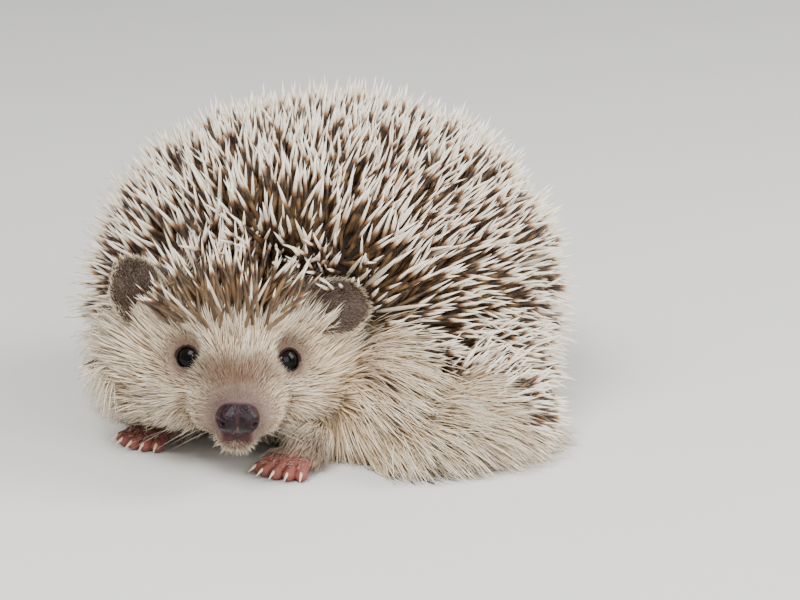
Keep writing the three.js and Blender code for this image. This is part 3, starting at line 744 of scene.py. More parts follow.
def quill_growth(p, normals):
    h = HEAD.local(p)
    _, deep = quill_mantle(p, h)
    deep = deep * (0.35 + 0.65 * smooth_step(p[:, 2], 4, 22))
    depth = QUILLS_FRONT + (QUILLS_BACK - QUILLS_FRONT) * deep
    valley = valley_of(p, h)
    length = QUILL_SHORT + (QUILL_LONG - QUILL_SHORT) * deep + VALLEY_EXTRA * valley
    outward = unit(p - HEAD.place(QUILL_SOURCE))
    low, high = smooth_step(-p[:, 2], -34, -8)[:, None], smooth_step(p[:, 2], 26, 38)[:, None]
    pull = [0, 0, -0.85] * low + [0, 0, 0.4] * high + [0, 0, 0.9] * valley[:, None]
    flow = along_skin(outward + pull + 0.22 * waves(p, 7.0, 3), normals)
    rise = depth / length * (1 - 0.12 * valley)
    lie = unit(risen(flow, normals, rise) + 0.20 * waves(p, 4.5, 4))
    return length, gathered(p, normals, lie, length, 5.6, 1.0)


quill_length, quill_lie = quill_growth(skin_points, skin_normals)
print("quills", quill_length.min().round(1), "to", quill_length.max().round(1), "mm long")

# %% Length and direction of the fur
FUR_FACE, FUR_CHEEK, FUR_FLANK, FUR_PAW = 4.3, 9.5, 14.5, 3.4
FUR_LID, FUR_TAIL = 1.2, 3.0
FUR_DEPTHS = [1.3, FUR_FACE, FUR_CHEEK, FUR_FLANK], [0.35, 1.05, 3.0, 5.4]     # length, then depth
MUZZLE_TIP = np.array([0.0, 23.0, -3.0])    # fur flows away from here, in the head's frame
FLANK_FLOW = [0.45, 0.54, -0.70]            # how fur streams from the left shoulder to the floor


def fur_length_on(p, h, normals, flank):
    """Region by region, in mm: each line changes the length in one place."""
    forward, up, down = h[:, 1], h[:, 2], -h[:, 2]
    by_foot = np.min([distance(p, foot.place([0, -1, 3])) for foot in FOOT_FRAMES.values()], axis=0)
    face = smooth_step(forward, -11, 7) * smooth_fall(np.abs(h[:, 0]), 14, 21)
    length = FUR_CHEEK + (FUR_FACE - FUR_CHEEK) * face + (FUR_FLANK - FUR_CHEEK) * flank
    # the muzzle, the forehead, below the ears, and round the eyes
    length = length * (1 - 0.70 * smooth_step(forward, 6, 16) * smooth_step(up, -11.0, -9.0))
    length = length * (1 - 0.12 * smooth_step(-forward + 0.55 * up, -4, 3) * smooth_step(up, 4, 7))
    length = length + 1.0 * smooth_step(-ears(h), -4.0, -1.5) * (1 - flank) * smooth_step(down, -5, 0)
    length = FUR_LID + (length - FUR_LID) * smooth_step(from_lid_edge(h), 0.5, 4.5)
    # the side that bulges furthest, the chin, the feet, the tail, and the belly
    length = length - 3.0 * smooth_step(p[:, 0], 48, 56)
    length = length * (1 - 0.35 * smooth_step(forward, 7, 10) * smooth_step(down, 9.5, 11))
    length = FUR_PAW + (length - FUR_PAW) * smooth_step(by_foot, 4, 11)
    length = FUR_TAIL + (length - FUR_TAIL) * smooth_step(limb(p, *TAIL_LINE, 3, 1), 1, 6)
    under = smooth_step(-p[:, 2], -9, -3) * smooth_step(-normals[:, 2], 0.3, 0.8)
    return length * (1 - 0.4 * under)


def fur_growth(p, normals):
    h = HEAD.local(p)
    flank = np.maximum(smooth_step(-h[:, 1], 12, 24), smooth_step(h[:, 0], 21, 27))
    length = fur_length_on(p, h, normals, flank)
    away = unit(p - HEAD.place(MUZZLE_TIP))
    side = np.tanh(p[:, :1] / 8)
    stream = FLANK_FLOW * np.concatenate([side, np.ones((len(p), 2))], 1)
    share = np.maximum(smooth_step(-h[:, 1], 6, 17), smooth_step(np.abs(h[:, 0]), 18, 26))[:, None]
    flow = away * (1 - share) + stream * share + 0.16 * waves(p, 6.0, 8)
    for foot in FOOT_FRAMES.values():
        near = smooth_fall(distance(p, foot.place([0, -3, 4])), 5, 10)[:, None]
        flow = flow * (1 - near) + foot.aim([0, 1, -0.5]) * near
    rise = np.interp(length, *FUR_DEPTHS) / length + 0.15 * smooth_step(-ears(h), -4.5, -1.5)
    lie = risen(along_skin(flow, normals), normals, rise)
    lie = gathered(p, normals, unit(lie + 0.10 * waves(p, 3.0, 9)), length, 1.7, 0.25)
    return length, gathered(p, normals, lie, length, 3.0, 0.5 * flank[:, None])


fur_length, fur_lie = fur_growth(skin_points, skin_normals)
print("fur", fur_length.min().round(1), "to", fur_length.max().round(1), "mm long")

# %% [markdown]
# ## Making meshes from arrays
#
# A mesh is filled fastest through foreach_set, with whole arrays of numbers. The helper below
# takes points in millimetres, in the animal's own coordinates, and turns them into the frame's
# metres, so every finished object sits at the origin with its place in its mesh.

# %% A helper that fills a mesh
def to_frame(points):
    return (np.asarray(points, float) - ORIGIN) * MM


def fill_mesh(mesh, places, corners, sizes):
    mesh.vertices.add(len(places))
    mesh.loops.add(len(corners))
    mesh.polygons.add(len(sizes))
    mesh.vertices.foreach_set("co", np.asarray(places, np.float32).ravel())
    mesh.loops.foreach_set("vertex_index", corners.astype(np.int32))
    starts = np.concatenate([[0], np.cumsum(sizes)[:-1]]).astype(np.int32)
    mesh.polygons.foreach_set("loop_start", starts)
    mesh.polygons.foreach_set("use_smooth", np.ones(len(sizes), bool))
    mesh.update(calc_edges=True)
    mesh.validate()


def store(mesh, key, values):
    values = np.asarray(values, np.float32)
    kind = "FLOAT" if values.ndim == 1 else "FLOAT_VECTOR"
    attribute = mesh.attributes.new(key, kind, "POINT")
    attribute.data.foreach_set("value" if values.ndim == 1 else "vector", values.ravel())


def new_mesh(name, points, faces, marks=None):
    """faces: a list of vertex lists, or an array of them."""
    mesh = bpy.data.meshes.new(name)
    sizes = np.array([len(f) for f in faces], np.int32)
    corners = np.concatenate([np.asarray(f, np.int32) for f in faces])
    fill_mesh(mesh, to_frame(points), corners, sizes)
    for key, value in (marks or {}).items():
        store(mesh, key, value)
    return mesh


def show(name, data):
    """An object with that mesh, lamp or camera, in the scene."""
    shown = bpy.data.objects.new(name, data)
    bpy.context.scene.collection.objects.link(shown)
    return shown


def add_piece(mesh, material, replaced=()):
    """A finished piece, named as its mesh is, that rides on the body."""
    piece = show(mesh.name, mesh)
    mesh.materials.clear()
    mesh.materials.append(material)
    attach(piece, "root")
    if replaced:
        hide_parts(*replaced)
    print(mesh.name, "has", len(mesh.loops) - 2 * len(mesh.polygons), "triangles")


print("the animal's own origin lies at", to_frame([0, 0, 0]), "m in the frame")

# %% [markdown]
# ## Node trees as Python expressions
#
# Shader and geometry nodes can be placed by hand in the editor, but a formula such as
# `dark * (1 - mask)` is easier to read than nine boxes and their wires. A small class wraps a
# socket and overloads the arithmetic operators, so that writing the formula adds its Math nodes.
# Colours go through Mix nodes, since a Math node would turn them grey.

# %% Sockets that take part in sums
class Wire:
    """An output socket, or its value, in a formula."""

    def __init__(self, tree, socket):
        self.tree, self.socket = tree, socket

    def math(self, operation, *values):
        settings = {"operation": operation}
        return self.tree.node("ShaderNodeMath", settings, dict(enumerate(values)))[0]

    def __add__(self, other):
        return self.math("ADD", self, other)

    def __sub__(self, other):
        return self.math("SUBTRACT", self, other)

    def __rsub__(self, other):
        return self.math("SUBTRACT", other, self)

    def __mul__(self, other):
        return self.math("MULTIPLY", self, other)

    __radd__, __rmul__ = __add__, __mul__

    def ramp(self, low, high):
        """0 below low, 1 above high, smooth between."""
        settings = {"interpolation_type": "SMOOTHSTEP", "clamp": True}
        return self.tree.node("ShaderNodeMapRange", settings, {0: self, 1: low, 2: high})[0]


class Tree:
    """Adds nodes to a node tree and links them."""

    def __init__(self, node_tree):
        self.nodes, self.links = node_tree.nodes, node_tree.links

    def node(self, kind, settings=None, inputs=None):
        """The new node's outputs, as wires, by number or by name."""
        made = self.nodes.new(kind)
        for key, value in (settings or {}).items():
            if key == "stops":
                self.set_stops(made.color_ramp, value)
            else:
                setattr(made, key, value)
        for key, value in (inputs or {}).items():
            self.feed(made.inputs[key], value)
        wires = {i: Wire(self, out) for i, out in enumerate(made.outputs)}
        wires.update({out.name: Wire(self, out) for out in made.outputs if out.enabled})
        return wires

    def feed(self, socket, value):
        if isinstance(value, Wire):
            self.links.new(value.socket, socket)
        elif hasattr(socket.default_value, "__len__") and not isinstance(value, str):
            socket.default_value = [*value, 1.0][:len(socket.default_value)]
        else:
            socket.default_value = value

    def set_stops(self, ramp, stops):
        while len(ramp.elements) < len(stops):
            ramp.elements.new(0.5)
        for element, (place, colour) in zip(ramp.elements, stops):
            element.position, element.color = place, (*colour, 1.0)

    def mark(self, name):
        """An attribute of the mesh, as a number."""
        return self.node("ShaderNodeAttribute", {"attribute_name": name})["Fac"]

    def mix(self, a, b, share):
        return self.node("ShaderNodeMix", {"data_type": "RGBA"}, {0: share, 6: a, 7: b})[2]

    def noise(self, scale, detail=3.0, roughness=0.5):
        """Uneven 0 to 1, with scale in patches to a metre, on Object coordinates."""
        place = self.node("ShaderNodeTexCoord")["Object"]
        inputs = {"Vector": place, "Scale": scale, "Detail": detail, "Roughness": roughness}
        return self.node("ShaderNodeTexNoise", None, inputs)[0]


def new_material(name, paint, **constants):
    """paint(tree) returns the wires for the shader's sockets; constants are set on it directly."""
    material = bpy.data.materials.new(name)
    material.use_nodes = True
    tree = Tree(material.node_tree)
    shader = material.node_tree.nodes["Principled BSDF"]
    for key, value in constants.items():
        tree.feed(shader.inputs[key.replace("_", " ")], value)
    for key, wire in paint(tree).items():
        tree.feed(shader.inputs[key], wire)
    return material


def bump(tree, height, strength, depth):
    inputs = {"Strength": strength, "Distance": depth, "Height": height}
    return tree.node("ShaderNodeBump", None, inputs)["Normal"]

# %% [markdown]
# ## Skin
#
# The skin shows bare on the nose, lips, eye rims, ears and paws, and only glimmers between hairs
# elsewhere. It is pink where blood shows through, almost black on the nose and round the eyes, and
# grey-brown on the ears. Painted shade darkens the paws and their creases, the line between the lips,
# the skin under the quills, and the skin near the eyes and under the ears. The markings stored on the
# vertices steer the colours, and noise in two sizes breaks them up. Fine pores and creases are a bump,
# since they are too small for geometry.

# %% The skin's material and its mesh
CREAM_SKIN = (0.50, 0.36, 0.27)
# the paws' pink, darkened with painted shade
SHADED_PINK_SKIN = (0.22, 0.079, 0.064)
# red for mottles on the paws, and darker for painted shade in their creases
RED_MOTTLE_AND_CREASE_SHADE = (0.19, 0.038, 0.030)
MUZZLE_SKIN = (0.115, 0.068, 0.064)
NOSE_SKIN = (0.011, 0.004, 0.006)
NOSE_FLUSH = (0.060, 0.016, 0.020)
LIP_SKIN = (0.055, 0.019, 0.020)
RIM_SKIN = (0.018, 0.010, 0.008)
# painted shade on the skin near the eyes and under the ears
EYE_EAR_SHADE_SKIN = (0.075, 0.038, 0.024)
EAR_SKIN = (0.085, 0.056, 0.044)
# dark patches on the ears, and painted shade in the crease between the lips
DARK_EAR_AND_LIP_SHADE = (0.038, 0.022, 0.016)
SHADE_SKIN = (0.040, 0.027, 0.020)
TAN_SKIN = (0.20, 0.115, 0.078)


def paint_skin(tree):
    coarse, fine = tree.noise(260, 4), tree.noise(1900, 5, 0.65)
    # paw skin: red in noise-made mottles, and darker red as painted shade in creases
    mottle_and_crease_shade = (coarse * 0.7 + fine * 0.5).ramp(0.58, 0.95) * 0.7 + tree.mark("hollow") * 0.9
    pink = tree.mix(SHADED_PINK_SKIN, RED_MOTTLE_AND_CREASE_SHADE, mottle_and_crease_shade.ramp(0.0, 1.0))
    colour = tree.mix(CREAM_SKIN, MUZZLE_SKIN, tree.mark("bare") * 0.9)
    colour = tree.mix(colour, TAN_SKIN, tree.mark("bridge") * coarse.ramp(0.3, 0.6))
    colour = tree.mix(colour, SHADE_SKIN, tree.mark("mantle").ramp(0.6, 1.0))
    # the paws, in pink darkened with painted shade
    colour = tree.mix(colour, pink, tree.mark("paw"))
    colour = tree.mix(colour, tree.mix(EAR_SKIN, DARK_EAR_AND_LIP_SHADE, coarse.ramp(0.35, 0.65)), tree.mark("ear"))
    # the lips, with painted shade in the crease between them
    colour = tree.mix(colour, tree.mix(LIP_SKIN, DARK_EAR_AND_LIP_SHADE, tree.mark("hollow") * 0.8), tree.mark("lip"))
    # painted shade at the inner corner of the eye, round the eye, and under the ears
    colour = tree.mix(colour, EYE_EAR_SHADE_SKIN, tree.mark("dusky"))
    colour = tree.mix(colour, RIM_SKIN, tree.mark("rim").ramp(0.1, 0.7))
    nose = tree.mix(NOSE_SKIN, NOSE_FLUSH, tree.mark("hollow") * 0.8 + coarse.ramp(0.5, 0.8) * 0.4)
    colour = tree.mix(colour, nose, tree.mark("nose"))
    wet = tree.mark("nose").ramp(0.4, 0.9)
    pores = tree.node("ShaderNodeTexVoronoi", None, {
        "Vector": tree.node("ShaderNodeTexCoord")["Object"], "Scale": 2600.0})["Distance"]
    return {
        "Base Color": colour,
        "Roughness": 0.62 - wet * 0.40 + fine * 0.12,
        "Coat Weight": wet * 0.08,
        "Normal": bump(tree, pores * 0.6 + fine * 0.7 + coarse * 0.4, 0.55, 0.00028),
    }


BLOOD_GLOW = (0.002, 0.0008, 0.0004)        # metres that red, green and blue spread under the skin
skin_material = new_material(
    "bare_skin", paint_skin, Subsurface_Weight=0.05, Subsurface_Radius=BLOOD_GLOW,
    Coat_Roughness=0.12, IOR=1.33, Specular_IOR_Level=0.3)
FLESH_NODES = ["trunk", "neck", "head", "nose", "tail"]
FLESH_NODES += [f"ear_{side}" for side in EARS]
FLESH_NODES += [f"{part}_{name}" for part in ("leg", "foot") for name in FEET]
skin_mesh = new_mesh("skin", skin_points, skin_faces, skin_marks)
add_piece(skin_mesh, skin_material, FLESH_NODES)

# %% [markdown]
# ## Growing a coat with Geometry Nodes
#
# Thousands of quills and tens of thousands of locks repeat one shape. Particle hair would be lost
# in an export, so each is a solid little mesh. The tree below scatters points on the skin at even
# spacing, turns one tuft on each point to the stored lie, scales it to the stored length, and makes
# the instances real. The random numbers come from a named seed, so every run gives the same coat.

# %% The tree that plants tufts on the skin
TUFT_INPUTS = {
    "Tuft": ("NodeSocketObject", None), "Spacing": ("NodeSocketFloat", 0.001),
    "Density": ("NodeSocketFloat", 1e5), "Stray": ("NodeSocketFloat", 0.1),
    "Uneven": ("NodeSocketFloat", 0.15), "Seed": ("NodeSocketInt", 1),
    "Material": ("NodeSocketMaterial", None),
}


def named(tree, name, kind="FLOAT"):
    return tree.node("GeometryNodeInputNamedAttribute", {"data_type": kind}, {"Name": name})["Attribute"]


def random_value(tree, kind, low, high, seed):
    settings = {"data_type": kind}
    spots = {"FLOAT_VECTOR": (0, 1, 0), "FLOAT": (2, 3, 1)}[kind]
    inputs = {spots[0]: low, spots[1]: high, "Seed": seed}
    return tree.node("FunctionNodeRandomValue", settings, inputs)[spots[2]]


def stored(tree, geometry, name, kind, value):
    inputs = {"Geometry": geometry, "Name": name, "Value": value}
    return tree.node("GeometryNodeStoreNamedAttribute", {"data_type": kind}, inputs)["Geometry"]


def planting_tree():
    group = bpy.data.node_groups.new("plant_tufts", "GeometryNodeTree")
    face = group.interface
    face.new_socket("Skin", in_out="INPUT", socket_type="NodeSocketGeometry")
    for name, (kind, default) in TUFT_INPUTS.items():
        socket = face.new_socket(name, in_out="INPUT", socket_type=kind)
        if default is not None:
            socket.default_value = default
    face.new_socket("Coat", in_out="OUTPUT", socket_type="NodeSocketGeometry")
    tree = Tree(group)
    asked = tree.node("NodeGroupInput")
    seed = asked["Seed"]
    spread = tree.node("GeometryNodeDistributePointsOnFaces", {"distribute_method": "POISSON"}, {
        "Mesh": asked["Skin"], "Distance Min": asked["Spacing"], "Density Max": asked["Density"],
        "Density Factor": named(tree, "grow"), "Seed": seed})
    here = tree.node("GeometryNodeInputPosition")["Position"]
    rooted = stored(tree, spread["Points"], "root", "FLOAT_VECTOR", here)
    tinted = stored(tree, rooted, "tint", "FLOAT", random_value(tree, "FLOAT", 0.0, 1.0, seed))
    stray = random_value(tree, "FLOAT_VECTOR", (-1, -1, -1), (1, 1, 1), seed + 1)
    vector = "ShaderNodeVectorMath"
    stray = tree.node(vector, {"operation": "SCALE"}, {0: stray, "Scale": asked["Stray"]})[0]
    lie = tree.node(vector, {"operation": "ADD"}, {0: named(tree, "lie", "FLOAT_VECTOR"), 1: stray})[0]
    turned = tree.node("FunctionNodeAlignRotationToVector", {"axis": "Z"}, {"Vector": lie})["Rotation"]
    turned = tree.node("FunctionNodeAlignRotationToVector", {"axis": "Y", "pivot_axis": "Z"}, {
        "Rotation": turned, "Vector": spread["Normal"]})["Rotation"]
    uneven = random_value(tree, "FLOAT", -1.0, 1.0, seed + 2)
    size = named(tree, "reach") * (1 + uneven * asked["Uneven"])
    shape = tree.node("GeometryNodeObjectInfo", None, {"Object": asked["Tuft"]})["Geometry"]
    planted = tree.node("GeometryNodeInstanceOnPoints", None, {
        "Points": tinted, "Instance": shape, "Rotation": turned, "Scale": size})["Instances"]
    real = tree.node("GeometryNodeRealizeInstances", None, {"Geometry": planted})["Geometry"]
    dressed = tree.node("GeometryNodeSetMaterial", None, {
        "Geometry": real, "Material": asked["Material"]})["Geometry"]
    tree.node("NodeGroupOutput", None, {"Coat": dressed})
    return group


plant_tufts = planting_tree()
print("the planting tree has", len(plant_tufts.nodes), "nodes")

# %% [markdown]
# ## One tuft
#
# A tuft points along +Z and is one unit long. Rings of points taper from root to tip, and the line
# through their middles arches towards +Y, which the tree turns away from the skin, so fur leaves the
# skin steeply and then lies down. Each tuft carries how far along it a point is, for its bands of
# colour, and a small flat patch of its own for the baked texture.

# %% A tuft from its profile
def tuft_shape(name, stations, widths, ratio, sides, arch=0.0):
    """stations run 0 to 1 and end in a point; ratio is the width over the length."""
    points, along, faces, patch = [], [], [], []
    rings = len(stations) - 1
    for t, width in zip(stations[:-1], widths):
        bend = arch * 4 * t * (1 - t)
        for i in range(sides):
            a = 2 * np.pi * i / sides
            points.append([ratio / 2 * width * np.cos(a), ratio / 2 * width * np.sin(a) + bend, t])
            along.append(t)
    points.append([0, 0, 1])
    along.append(1)
    for r in range(rings):
        for i in range(sides):
            j = (i + 1) % sides
            low, high = i / sides, (i + 1) / sides
            foot, head = stations[r], stations[r + 1]
            if r + 1 < rings:
                faces.append([r * sides + i, r * sides + j, (r + 1) * sides + j, (r + 1) * sides + i])
                patch += [(low, foot), (high, foot), (high, head), (low, head)]
            else:
                faces.append([r * sides + i, r * sides + j, rings * sides])
                patch += [(low, foot), (high, foot), ((low + high) / 2, head)]
    faces.append(list(range(sides))[::-1])
    for i in range(sides)[::-1]:            # the root's own small disc at the foot of the patch
        a = 2 * np.pi * i / sides
        patch.append((0.5 + 0.4 * np.cos(a), 0.04 + 0.04 * np.sin(a)))
    mesh = bpy.data.meshes.new(name)
    fill_mesh(mesh, points, np.concatenate(faces), np.array([len(f) for f in faces]))
    store(mesh, "along", along)
    layer = mesh.attributes.new("patch", "FLOAT2", "CORNER")
    layer.data.foreach_set("vector", np.asarray(patch, np.float32).ravel())
    print(name, "has", len(points), "points and", len(faces), "faces")
    return show(name, mesh)

# %% [markdown]
# ## From planted tufts to finished pieces
#
# The evaluated result is read back as arrays. Every tuft has the same number of points, so it can be
# cut into pieces of whole tufts by slicing. Each tuft gets its patch in a map named OFBake, at the
# place of its root on an unwrap of the body: the directions from a middle point, unfolded as an
# octahedron, which keeps areas nearly even. Tips that would dip under the floor are bent up onto it.

# %% Plant, slice and unwrap
PATCH = 0.003                               # a tuft's width in the baked map
FLOOR_CLEAR = 0.00015                       # metres between the floor and the lowest hair
CROWDING = 4.0                              # points tried for each one that the spacing can keep
COAT_MARKS = ["bare", "bridge", "brow", "dusky", "ear", "fringe", "mantle", "rim", "warm", "wrist"]


def unfolded(directions):
    d = directions / np.abs(directions).sum(1, keepdims=True)
    turned = (1 - np.abs(d[:, 1::-1])) * np.where(d[:, :2] < 0, -1, 1)
    flat = np.where(d[:, 2:] < 0, turned, d[:, :2])
    return 0.5 + flat * (0.5 - PATCH)


def read(mesh, key, width=1, field="value"):
    data = mesh.attributes[key].data
    values = np.empty(len(data) * width, np.float32)
    data.foreach_get(field, values)
    return values.reshape(-1, width) if width > 1 else values


def planted(name, shape, lengths, lie, grow, spacing, stray, uneven, seed, material):
    """The realized coat, as a mesh. Lengths and spacing are in millimetres."""
    carrier_mesh = new_mesh(name, skin_points, skin_faces, {k: skin_marks[k] for k in COAT_MARKS})
    store(carrier_mesh, "reach", lengths * MM)
    store(carrier_mesh, "lie", lie)
    store(carrier_mesh, "grow", np.clip(grow, 0, 1))
    carrier = show(name, carrier_mesh)
    modifier = carrier.modifiers.new("coat", "NODES")
    modifier.node_group = plant_tufts
    socket = {s.name: s.identifier for s in plant_tufts.interface.items_tree if s.in_out == "INPUT"}
    spacing = spacing * MM
    values = {"Tuft": shape, "Spacing": spacing, "Density": CROWDING / spacing ** 2, "Stray": stray,
              "Uneven": uneven, "Seed": seed, "Material": material}
    for key, value in values.items():
        modifier[socket[key]] = value
    graph = bpy.context.evaluated_depsgraph_get()
    mesh = bpy.data.meshes.new_from_object(carrier.evaluated_get(graph), depsgraph=graph)
    bpy.data.objects.remove(carrier)
    return mesh


def tuft_pieces(name, mesh, shape, middle, parts, material):
    """Cuts the mesh into pieces by the angle of the roots about the vertical."""
    each, corners_each = len(shape.data.vertices), len(shape.data.loops)
    faces_each = len(shape.data.polygons)
    count = len(mesh.vertices) // each
    co = np.empty(len(mesh.vertices) * 3, np.float32)
    mesh.vertices.foreach_get("co", co)
    co = co.reshape(count, each, 3)
    co[..., 2] = np.maximum(co[..., 2], FLOOR_CLEAR)
    corners = np.empty(len(mesh.loops), np.int32)
    mesh.loops.foreach_get("vertex_index", corners)
    corners = corners.reshape(count, corners_each)
    local = corners - (np.arange(count) * each)[:, None]
    sizes = np.empty(len(mesh.polygons), np.int32)
    mesh.polygons.foreach_get("loop_total", sizes)
    sizes = sizes.reshape(count, faces_each)
    marks = {k: read(mesh, k).reshape(count, each) for k in ["along", "tint", *COAT_MARKS]}
    root = read(mesh, "root", 3, "vector").reshape(count, each, 3)[:, 0]
    patch = read(mesh, "patch", 2, "vector").reshape(count, corners_each, 2)
    chart = unfolded(root - middle)[:, None] + (patch - 0.5) * PATCH
    order = np.argsort(np.arctan2(root[:, 1], root[:, 0]), kind="stable")
    for number, chosen in enumerate(np.array_split(order, parts), 1):
        part = bpy.data.meshes.new(f"{name}_{number}")
        index = local[chosen] + (np.arange(len(chosen)) * each)[:, None]
        fill_mesh(part, co[chosen].reshape(-1, 3), index.ravel(), sizes[chosen].ravel())
        for key, value in marks.items():
            store(part, key, value[chosen].ravel())
        chart_map = part.uv_layers.new(name="OFBake").data
        chart_map.foreach_set("uv", chart[chosen].astype(np.float32).ravel())
        add_piece(part, material)
    bpy.data.meshes.remove(mesh)
    bpy.data.objects.remove(shape)
    print(name, "has", count, "tufts in", parts, "pieces")

# %% [markdown]
# ## Quills
#
# A quill is a stiff, hollow, modified hair: thin at its root, stoutest at mid length, and drawn out
# to a sharp point. It is cream at the root, has a dark brown band, and ends in a long cream tip. The
# band's place differs a little from quill to quill, and a few quills are pale all over, which is
# what makes the coat look peppered. Over the forehead the band sits nearer the tip, and the root is
# shaded. The colour runs along the quill by its stored position.

# %% The quills' material and shape
QUILL_ROOT = (0.56, 0.40, 0.22)
QUILL_GOLD = (0.44, 0.255, 0.105)
QUILL_SHADE = (0.075, 0.042, 0.022)
QUILL_DARK = (0.030, 0.016, 0.010)
QUILL_RUST = (0.25, 0.118, 0.050)
QUILL_CREAM = (0.82, 0.72, 0.56)
QUILL_TIP = (0.93, 0.88, 0.79)
QUILL_BANDS = [                             # place along the quill, and colour
    (0.0, QUILL_ROOT), (0.20, QUILL_GOLD), (0.34, QUILL_GOLD), (0.42, QUILL_DARK),
    (0.56, QUILL_DARK), (0.63, QUILL_RUST), (0.70, QUILL_CREAM), (1.0, QUILL_TIP)]
BAND_SCATTER, BROW_SHIFT = 0.16, 0.21       # shares of the length that the bands move by
QUILL_SPACING = 1.18                        # mm between roots
QUILL_RATIO = 0.070                         # width over length


def paint_quill(tree):
    along, tint, brow = tree.mark("along"), tree.mark("tint"), tree.mark("brow")
    to_root = 1 - along
    shifted = along + (tint - 0.5) * BAND_SCATTER - brow * BROW_SHIFT
    bands = tree.node("ShaderNodeValToRGB", {"stops": QUILL_BANDS}, {"Fac": shifted})["Color"]
    bands = tree.mix(bands, QUILL_SHADE, to_root.ramp(0.45, 0.75) * (1 - brow) * 0.85)
    bands = tree.mix(bands, QUILL_SHADE, to_root.ramp(0.15, 0.42) * brow * (0.72 + tint * 0.25))
    pale = (1 - tint).ramp(0.93, 0.95)
    colour = tree.mix(bands, QUILL_CREAM, pale * 0.8)
    soiled = tree.noise(420, 3)
    colour = tree.mix(colour, QUILL_GOLD, soiled.ramp(0.45, 0.8) * 0.25)
    grain = tree.noise(5200, 2)
    return {"Base Color": colour, "Roughness": 0.36 + grain * 0.2,
            "Normal": bump(tree, grain, 0.25, 0.0001)}


quill_material = new_material("banded_quill", paint_quill, IOR=1.54)
quill_shape = tuft_shape(
    "quill_shape", [0, 0.12, 0.45, 0.78, 1.0], [0.5, 0.9, 1.0, 0.62], QUILL_RATIO, 5)
clear_of_ears = misses_ears(skin_points, quill_lie, quill_length)
quill_share = smooth_step(skin_marks["mantle"] * clear_of_ears, 0.4, 0.7)
quill_mesh = planted(
    "quills", quill_shape, quill_length, quill_lie, quill_share,
    spacing=QUILL_SPACING, stray=0.35, uneven=0.18, seed=11, material=quill_material)
tuft_pieces("quills", quill_mesh, quill_shape, to_frame([0, 0, 5]), 3, quill_material)

# %% [markdown]
# ## Fur
#
# The face, cheeks, flanks and belly carry soft hair, pale, with painted shade darkening its base so
# that the parting between locks reads as a fine shadow. Face fur is short, fine and dense, and cheek
# and flank fur is long and hangs in loose locks. Two sizes of lock are planted: fine ones where the
# coat is short and coarser ones where it is long, each with its own spacing.

# %% The fur's material and its locks
# painted shade at the base of the fur
FUR_ROOT_SHADE = (0.27, 0.17, 0.090)
# dark locks, with painted shade towards their roots
FUR_DARK_LOCK_AND_ROOT_SHADE = (0.12, 0.070, 0.038)
FUR_BODY = (0.68, 0.52, 0.34)
FUR_TIP = (0.86, 0.765, 0.61)
FUR_TAN = (0.205, 0.118, 0.068)
FUR_MUZZLE = (0.145, 0.095, 0.081)
FUR_STRAW = (0.66, 0.45, 0.20)
FUR_EAR = (0.072, 0.048, 0.038)
FUR_DARK = (0.040, 0.024, 0.018)
# painted shade on the fur near the eyes and under the ears
EYE_EAR_SHADE_FUR = (0.125, 0.070, 0.043)


def paint_fur(tree):
    along, tint = tree.mark("along"), tree.mark("tint")
    patchy = tree.noise(330, 3)
    # painted shade darkens the base of each lock
    colour = tree.mix(FUR_ROOT_SHADE, FUR_BODY, along.ramp(0.0, 0.55))
    colour = tree.mix(colour, FUR_TIP, (along + tint * 0.4).ramp(0.4, 1.2))
    # a share of the locks is dark, and darker towards the root as painted shade
    colour = tree.mix(colour, FUR_DARK_LOCK_AND_ROOT_SHADE, (1 - tint).ramp(0.68, 0.92) * 0.8 * (1.15 - along))
    colour = tree.mix(colour, FUR_STRAW, tree.mark("warm") * (patchy.ramp(0.3, 0.6) * 0.6))
    colour = tree.mix(colour, FUR_MUZZLE, tree.mark("bare") * (0.65 + tint * 0.3))
    colour = tree.mix(colour, FUR_TAN, tree.mark("bridge") * (0.7 + patchy * 0.6) * (0.65 + tint * 0.4))
    colour = tree.mix(colour, FUR_TAN, tree.mark("wrist") * (0.25 + patchy * 0.6))
    colour = tree.mix(colour, FUR_EAR, tree.mark("ear") * (0.55 + tint * 0.4) * (1 - tree.mark("fringe")))
    # painted shade at the inner corner of the eye, round the eye, and under the ears
    colour = tree.mix(colour, EYE_EAR_SHADE_FUR, tree.mark("dusky") * 0.85)
    colour = tree.mix(colour, FUR_DARK, tree.mark("rim").ramp(0.1, 0.8) * 0.9)
    return {"Base Color": colour, "Roughness": 0.52 + tint * 0.14}


fur_material = new_material("soft_fur", paint_fur, IOR=1.5)
skin_h = HEAD.local(skin_points)
furred = smooth_fall(skin_marks["mantle"], 0.85, 1.0) * (1 - skin_marks["ear"])
furred = furred * smooth_fall(skin_marks["nose"] + skin_marks["lip"], 0.05, 0.4)
furred = furred * (1 - skin_marks["paw"]) * smooth_step(skin_points[:, 2], 0.4, 1.5)
furred = furred * smooth_step(from_lid_edge(skin_h), 0.35, 0.60)
furred = furred * smooth_step(distance(mirrored(skin_h), EYE), 3.35, 3.5)
sparse = 1 - 0.2 * skin_marks["bare"]
fine_share = smooth_step(skin_h[:, 1], -9, -3) * smooth_step(-distance(skin_h, [0, 0, -4]), -24, -20)
print("share of the skin under fur:", round(float(furred.mean()), 2))

# %% Fine locks on the face, and long ones on the body
FACE_MIDDLE, BODY_MIDDLE = to_frame(HEAD.place([0, -8, -6])), to_frame([0, 0, 12])

